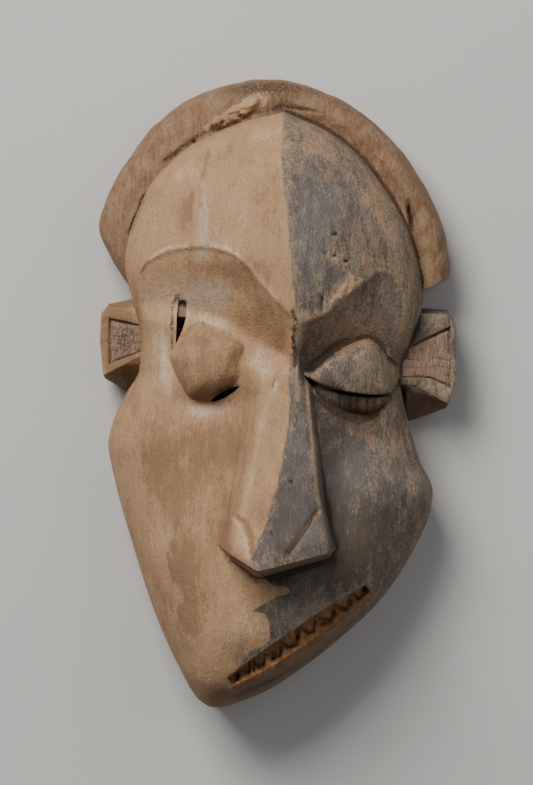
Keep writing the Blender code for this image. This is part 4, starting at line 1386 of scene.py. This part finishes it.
MARKS = {
    # Clay marks that are painted light: highlights along the left brow's ridge, the nose's left edge, the
    # leaf's edge and the ridge right of the nose root's crevice, and whiter clay with a painted highlight
    # in the trough under the left lid; painted shade in the band under the left brow, the band under the
    # left lid, the line outside the leaf's edge and the strip left of the leaf; on the dark half the
    # lighter right socket lifts its shade.
    Tone.CLAY: Marks(
        patches=(
            (-35.2, 76, 2.4, 14, 0.4, -2), (-40, -60, 26, 55, -0.6), (-30, 57, 26, 8, -0.4),
            (-24, -50, 4, 12, -0.6), (36.8, 16.6, 1, 1, 2), (39.6, 18.4, 0.9, 0.9, 2),
            (16, -100, 20, 7, 0.8, 25), (-76, 25, 15, 26, -1.3), (16, 115, 14, 10, 0.8),
            (46, 80, 12, 24, 0.9), (51, -30, 7, 9, 1), (43, 10, 12, 8, 0.9),
            (32.5, 49.5, 9, 4.2, 1.4, 42), (12.5, 34.5, 2.2, 4, 1.4), (16, -28, 3, 16, 0.5),
            (60, 20, 6, 20, 0.4), (-12, 139, 8, 5, 0.5, 30), (-27, 128, 9, 4, -0.9, 35),
            (27, 63, 7, 4, 1), (30, -75, 36, 38, -0.5), (23, -57, 8, 12, -0.5),
            (2, -60, 14, 14, -0.4, 30), (36, 32, 20, 10, 1.2), (56, 46, 6, 16, 0.7),
            (-17.5, -66, 3, 7, 0.5, 12), (-32, -140, 14, 5, -1.2, -10), (-19, -122, 6, 10, -0.5),
            (-27, 0.5, 13, 5, -1.3, 5), (-32, 34, 20, 3.5, 0.8, -15), (-52, 10, 3, 14, 0.6, 8),
            (-60, 25, 9, 26, 0.7), (-33, -8, 11, 4, 1.6), (-36.5, 24.6, 4.5, 3.5, -0.6),
            (-19.8, 16, 4, 8, -0.4), (-8, 14, 9, 8, 0.7), (-22, -67, 5, 7, 0.3), (-45, -33, 4, 4, 0.6),
            (-55, -69, 5, 9, 0.6), (-45, -93, 5, 6, 0.5), (-38, -58, 12, 12, 0.35),
            (-26, -85, 12, 10, 0.35), (-15, -108, 10, 8, 0.35), (-22, -45, 6, 14, 0.4),
            (-43, 104, 8, 6, 0.35), (-8, 122, 8, 5, 0.4), (-50, 50, 10, 8, 0.3), (-30, 45, 20, 5, 0.2),
            (-55, -30, 9, 22, -0.5), (-30, -26, 16, 10, -0.6), (-44, -80, 6, 16, -0.6),
            (-40, -104, 5, 14, -0.6), (-32, 14, 15, 15, -0.45), (-18, 52, 9, 9, -0.5),
            (-8, 40, 12, 12, -0.6), (-26, 58, 16, 5, -0.6), (-15, 115, 12, 8, -0.3),
            (-4, 95, 6, 20, -0.5), (-45, 84, 5, 9, -0.4)),
        streaks=(
            (((-60, 63.5), (-53, 68), (-43, 69)), 1, 0.8),
            (((-31, 69.2), (-23.5, 67), (-15, 60.6), (-8, 51.7), (-1, 43.5)), 1.2, 0.85),
            (((-50, -71), (-43, -97)), 1.3, -0.9), (((-45, -101), (-40, -113)), 1.5, -0.9),
            (((-52, -76), (-49, -88)), 0.8, -1.4), (((-47, -103), (-43, -112)), 0.8, -1.4),
            (((-40, -106), (-38, -112)), 0.8, -1.3), (((-40.5, 94), (-42, 82)), 1.2, -1.2),
            (((-33, 114), (-35.5, 101)), 1, -0.9), (((-46, -50), (-48, -64)), 1.2, -0.5),
            (((-48, -28), (-47, -46)), 1.2, -0.5), (((14.8, -79), (15, -96), (21, -91)), 0.5, 0.8),
            (((43, -74), (43.5, -92)), 0.8, 1),
            (((13, 8), (14.3, -8), (16.2, -27), (18.5, -45.5), (19, -51.6)), 0.9, 0.9),
            (((8.6, 14), (8.8, -3.5)), 1.1, 1.4),
            (((-21.4, -58.4), (-17.6, -61.8), (-14.6, -68), (-13.8, -76)), 0.8, 1),
            (((-18.6, -57), (-14.8, -60.4), (-11.8, -67.4), (-11.2, -76)), 0.9, -1),
            (((-26, -62), (-26, -70), (-18, -77), (-13, -80)), 2.2, -0.9),
            (((0, 5), (-6, -8), (-9.5, -22), (-13, -42), (-17, -57)), 1.6, 0.55))),
    Tone.BLUE: Marks(
        patches=(
            (-35.4, 75, 2.7, 15, 1.2, -2), (-34, 46, 14, 9, 0.9), (-60, 46, 8, 8, 0.5),
            (-14, 22, 12, 8, 0.4), (-44, -92, 8, 8, 0.5), (-20, -118, 8, 10, 0.6), (37, -7, 13, 6, -1.2),
            (14, 75, 9, 26, 0.8), (30, 88, 13, 14, 0.5), (40, 15, 10, 7, 0.7), (10, -30, 8, 26, 0.6),
            (33, -38, 12, 18, 0.5), (17, -103, 20, 8, 0.7), (16, -66, 9, 6, 0.6), (55, 40, 4, 12, 0.6),
            (52, -38, 8, 8, 0.4), (30, 28, 18, 10, -0.7), (42, 70, 14, 10, -0.2), (33, -66, 12, 20, -0.4),
            (55, -75, 10, 14, -0.4), (40, -14, 14, 6, -0.7), (22, 118, 14, 8, -0.5)),
        streaks=(
)),
    Tone.TAN: Marks(
        patches=(
            (6.2, -16.7, 1.8, 2.2, 0.9, 20), (36, -6, 9, 3, 0.35), (40, -21, 9, 4, 0.7, -20),
            (40, -7, 9, 3, 0.4), (2.5, 45, 3.5, 14, 0.45), (0, 113, 3, 10, 0.35),
            (24, 101, 7, 5, 0.5, 30)),
        streaks=(
            (((39.3, 60.7), (44.1, 62.9), (48.9, 61.7), (55.2, 58.8), (58.8, 53)), 1.8, 0.75),
            (((26.8, 19.1), (34.8, 23.3), (42.4, 25.4), (46.4, 24.6), (51.3, 19.9)), 1.7, 0.85),
            (((51.3, 19.9), (55.8, 13.6), (57.8, 7.9), (53.8, -0.2)), 1.4, 0.55),
            (((17, -20), (18.5, -45)), 0.9, 0.6), (((2.5, 128), (1.2, 112)), 2, 0.5),
            (((19.5, -54.5), (4.5, -74.5)), 1.6, 0.8), (LIP_LINE, 1.2, 0.9))),
    # Grime and painted shade: painted shade under the nose and along its right flank, along the left lid's
    # lower edge, over the right eye's slit and crescent, in the crevice by the nose root, in the temple
    # slit, below the lip and over the left ear's recess; darker in the nose's pits and the brim's holes and
    # splits, and grime on the brim.
    Tone.GRIME_AND_SHADE: Marks(
        patches=(
            (24, -80, 12, 5, 0.45, 20), (24, -55, 3.5, 8, 0.4), (-26, -141, 8, 2.5, 0.5),
            (-4, -137, 14, 3, 0.25, 25), (-46.5, 46, 3.5, 2.2, 0.5), (-45.2, 42.4, 2.4, 1.6, 1.1),
            (-25, 0.5, 7, 2.2, 0.9, 22), (-31, 2.5, 9, 3, 0.3), (-13, 57, 5, 4, 0.25),
            (-72, 25, 9, 9, 0.35), (24, -4, 6, 3, 0.7, -35), (-2, 146, 34, 7, 0.75),
            (34, 137, 14, 5, 0.4, -35), (-78, 92, 14, 30, 0.2), (24, 4.5, 9, 3.4, 0.6, -15),
            (3, -88, 8, 3.5, 0.6, 10), (38, -6, 12, 4.5, 0.25), (-76, 25, 12, 14, 0.3),
            (-18, 132, 1.6, 1.4, 0.9), (-30, 126.6, 2.4, 1.5, 1, 30), (5.2, -41, 0.9, 1, 0.9),
            (-3.4, -64.5, 0.8, 1.6, 0.8)),
        streaks=(
            (((-25, -77), (-11, -87)), 2.2, 0.45), (((-9, -87), (24, -78)), 2.2, 0.5),
            (((-50.2, 20), (-50, 42), (-47.5, 45)), 1.1, 0.7), (((6.6, 38), (8, 33)), 0.9, 1.1),
            (((7.8, 31), (6.9, 25), (8, 20), (8.4, 13)), 0.9, 1.2), (BELOW_LIP, 1.5, 0.65),
            (((-2.9, 2.1), (-0.5, 9.2)), 0.6, 0.75), (((0, 137.5), (12, 135)), 3, 0.35),
            (((27, 3), (33, -6), (38, -9)), 2.6, 0.4),
            (((18, -2), (27, -9), (38, -14), (47, -11)), 2.4, 0.8),
            (((-63.5, 94.3), (-66.8, 85.6), (-70.7, 76.6)), 1.2, 0.8),
            (((-54, 111), (-44, 118.2), (-35, 124.4), (-27, 127)), 1.8, 0.65),
            (((-15, 133), (1, 136.1)), 1.6, 0.5)))}


def mask() -> Carving:
    """The mask with its measures."""
    outline = Outline(
        left=Line(((134, 3), (129, -18), (115, -46), (96, -63), (62, -73.5), (46, -70), (25, -66),
                   (11, -66.5), (0, -72.5), (-14, -79), (-24, -81.3), (-40, -78.6), (-73, -69.5),
                   (-108, -57.8), (-135, -45.2), (-146, -38.3), (-149.8, -33))),
        right=Line(((134, 3), (124, 25), (107, 44), (70, 65), (46, 69.3), (6, 59), (-14, 62.4),
                    (-32, 67.8), (-48, 74.2), (-58, 72.5), (-78, 63.4), (-98, 50), (-116, 31.4),
                    (-134, 8), (-142.5, -5.8), (-149.8, -24))))
    floor_right = Line(((8, 14), (14, 9.5), (25, 17.5), (34, 23), (42, 25.5), (47, 23), (53, 16),
                        (62, 6)))
    face = Face(
        outline=outline,
        keel=Line(((134, 3), (90, 5.4), (16, 9.5), (-17, 6.3), (-80, -9), (-130, -23), (-150, -29))),
        keel_height=Line(((134, 50), (120, 66), (100, 79), (80, 87), (60, 90.5), (40, 89), (14, 78),
                          (0, 73), (-30, 72), (-60, 76), (-85, 82), (-110, 81), (-128, 75), (-142, 64),
                          (-150, 54))),
        edge_height=Line(((134, 48), (50, 44), (20, 42), (-50, 40), (-120, 46), (-150, 50))),
        left_socket=Socket(
            brow=Line(((-70, 50), (-61, 62.5), (-50, 67), (-37, 68.5), (-24, 66), (-15, 60), (-9, 52),
                       (0, 42), (6, 35))),
            floor=Line(((-70, 42), (-55, 42), (-40, 38), (-30, 35), (-10, 23), (0, 18), (9, 15))),
            depth=Line(((-70, 1), (-60, 4), (-45, 7), (-30, 9), (-15, 11), (0, 12), (9, 10))),
            edge_rise=1.2, edge_width=6.0),
        right_socket=Socket(
            brow=Line(((10, 32), (22, 36.5), (28, 41), (36, 48), (42, 53), (48, 57), (54, 55.8),
                       (58, 50), (62, 38))),
            floor=floor_right,
            depth=Line(((8, 9), (14, 11), (25, 11), (38, 9), (50, 7), (62, 4))),
            edge_rise=0.5, edge_width=4.0),
        round_lid=RoundLid(),
        hood_lid=HoodLid(
            foot=Line(((12, 8), (23, 2.6), (37, -0.2), (45, -1), (53, 0), (59, 8))),
            top=floor_right,
            rise=Line(((12, 3), (16, 7), (24, 11), (36, 15), (46, 16), (53, 13.5), (60, 4))),
            floor=Line(((13, 6), (20, -3), (27, -8), (35, -13), (42, -14.5), (48, -11), (56, 2)))))
    nose = Nose(
        face=face,
        lines=(Line(((15, -14), (-10, -17), (-27, -19.5), (-45, -22.5), (-56, -24), (-62, -25.5),
                     (-71, -28.2), (-84, -29))),
               Line(((15, -3), (3.5, -7.6), (-27, -13.2), (-50, -17.8), (-60, -21), (-84, -23))),
               Line(((15, 8.8), (-17, 6.3), (-50, -1.6), (-70, -6.2), (-84, -9.6))),
               Line(((15, 12.6), (-27, 17), (-50, 19.3), (-60, 22.2), (-84, 25))),
               Line(((15, 14.5), (-27, 19.5), (-57, 23), (-76, 27), (-84, 27.5)))),
        rise=Line(((20, -2), (15, 1.5), (8, 5), (0, 9), (-27, 18), (-50, 26), (-70, 33), (-84, 36))),
        end=((-28.6, -71), (-22.3, -74.4), (-9.4, -82), (23.6, -74), (27.4, -73)))
    brim = HairBrim(
        outline=outline,
        outer=Line(((10.4, 84), (24, 88.2), (42.4, 93.2), (60.3, 100.2), (76.4, 106.6), (94, 111.2),
                    (109.7, 110.4), (124.3, 106.6), (135.4, 102), (146.2, 98.8), (154.7, 95.2),
                    (163.8, 82.6), (172, 71))),
        section=((0, 37, 33), (0.33, 36, 32), (0.48, 35.5, 33.8), (0.62, 35, 35.6), (0.8, 33, 33.2),
                 (0.92, 28.5, 28.5), (1, 20, 20), (0.99, 12, 12), (0.93, 4, 4), (0, 4, 4)))
    ears = {
        Side.LEFT: Ear(
            back=((-59, -4), (-73, 0.5), (-83.8, 7), (-85, 24), (-84.1, 39.8), (-81.6, 43), (-59, 47.5)),
            front=((-59, 18), (-68, 15.5), (-83.6, 7.8), (-85.4, 24), (-84.7, 37.8), (-81.9, 41),
                   (-59, 39.5)),
            recess=((-62, 20.5), (-80.8, 13.5), (-80.8, 35.6), (-62, 31.5)), centre=(-71, 25)),
        Side.RIGHT: Ear(
            back=((55, -16), (66, -13), (81.5, -7.5), (85.2, 6), (84.8, 36), (81.5, 40), (55, 42)),
            front=((55, 4), (66, 3), (81.5, -6), (85.5, 6), (85.2, 33), (82, 37), (55, 39)),
            recess=((58, 7), (73, 6.6), (82.4, 2.5), (82.4, 31.5), (58, 20)), centre=(72, 14))}
    through = 30.0
    slits = (
        Slit(face, ((-31.5, -4.0, 0.3, through), (-29.5, -3.0, 1.0, through), (-25.5, -1.0, 1.5, through),
                    (-21.5, 1.2, 1.2, through), (-18.5, 2.8, 0.3, through))),
        Slit(face, ((24, 1.3, 0.1, through), (27, 0.6, 0.4, through), (31, -0.2, 0.6, through),
                    (37, -1.1, 0.7, through), (42, -1.6, 0.6, through), (47, -1.7, 0.4, through),
                    (52, -1.5, 0.1, through))),
        Slit(face, ((-45.2, 43.6, 1.2, 1.2), (-45.3, 42.5, 1.9, 2.6), (-45.4, 40, 2.2, 2.6),
                    (-45.7, 36, 2.3, 3.4), (-46.6, 30, 1.5, through), (-47.6, 26, 0.7, through),
                    (-48.3, 23.5, 0.2, through))))
    mouth = Mouth(face)
    paint = Paint(face, mouth, ears, DARK_LINE, MARKS)
    return Carving(face, nose, brim, ears, Hollow(face), mouth, slits, paint)


def main() -> None:
    """Builds the mask and the studio, attaches the mask to its body and hides the solid model's part."""
    logging.basicConfig(level=logging.INFO, format="%(name)s: %(message)s")
    carving = mask().build()
    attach(carving, BODY)
    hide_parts(NODE)
    Studio.build()


if __name__ == "__main__":
    main()
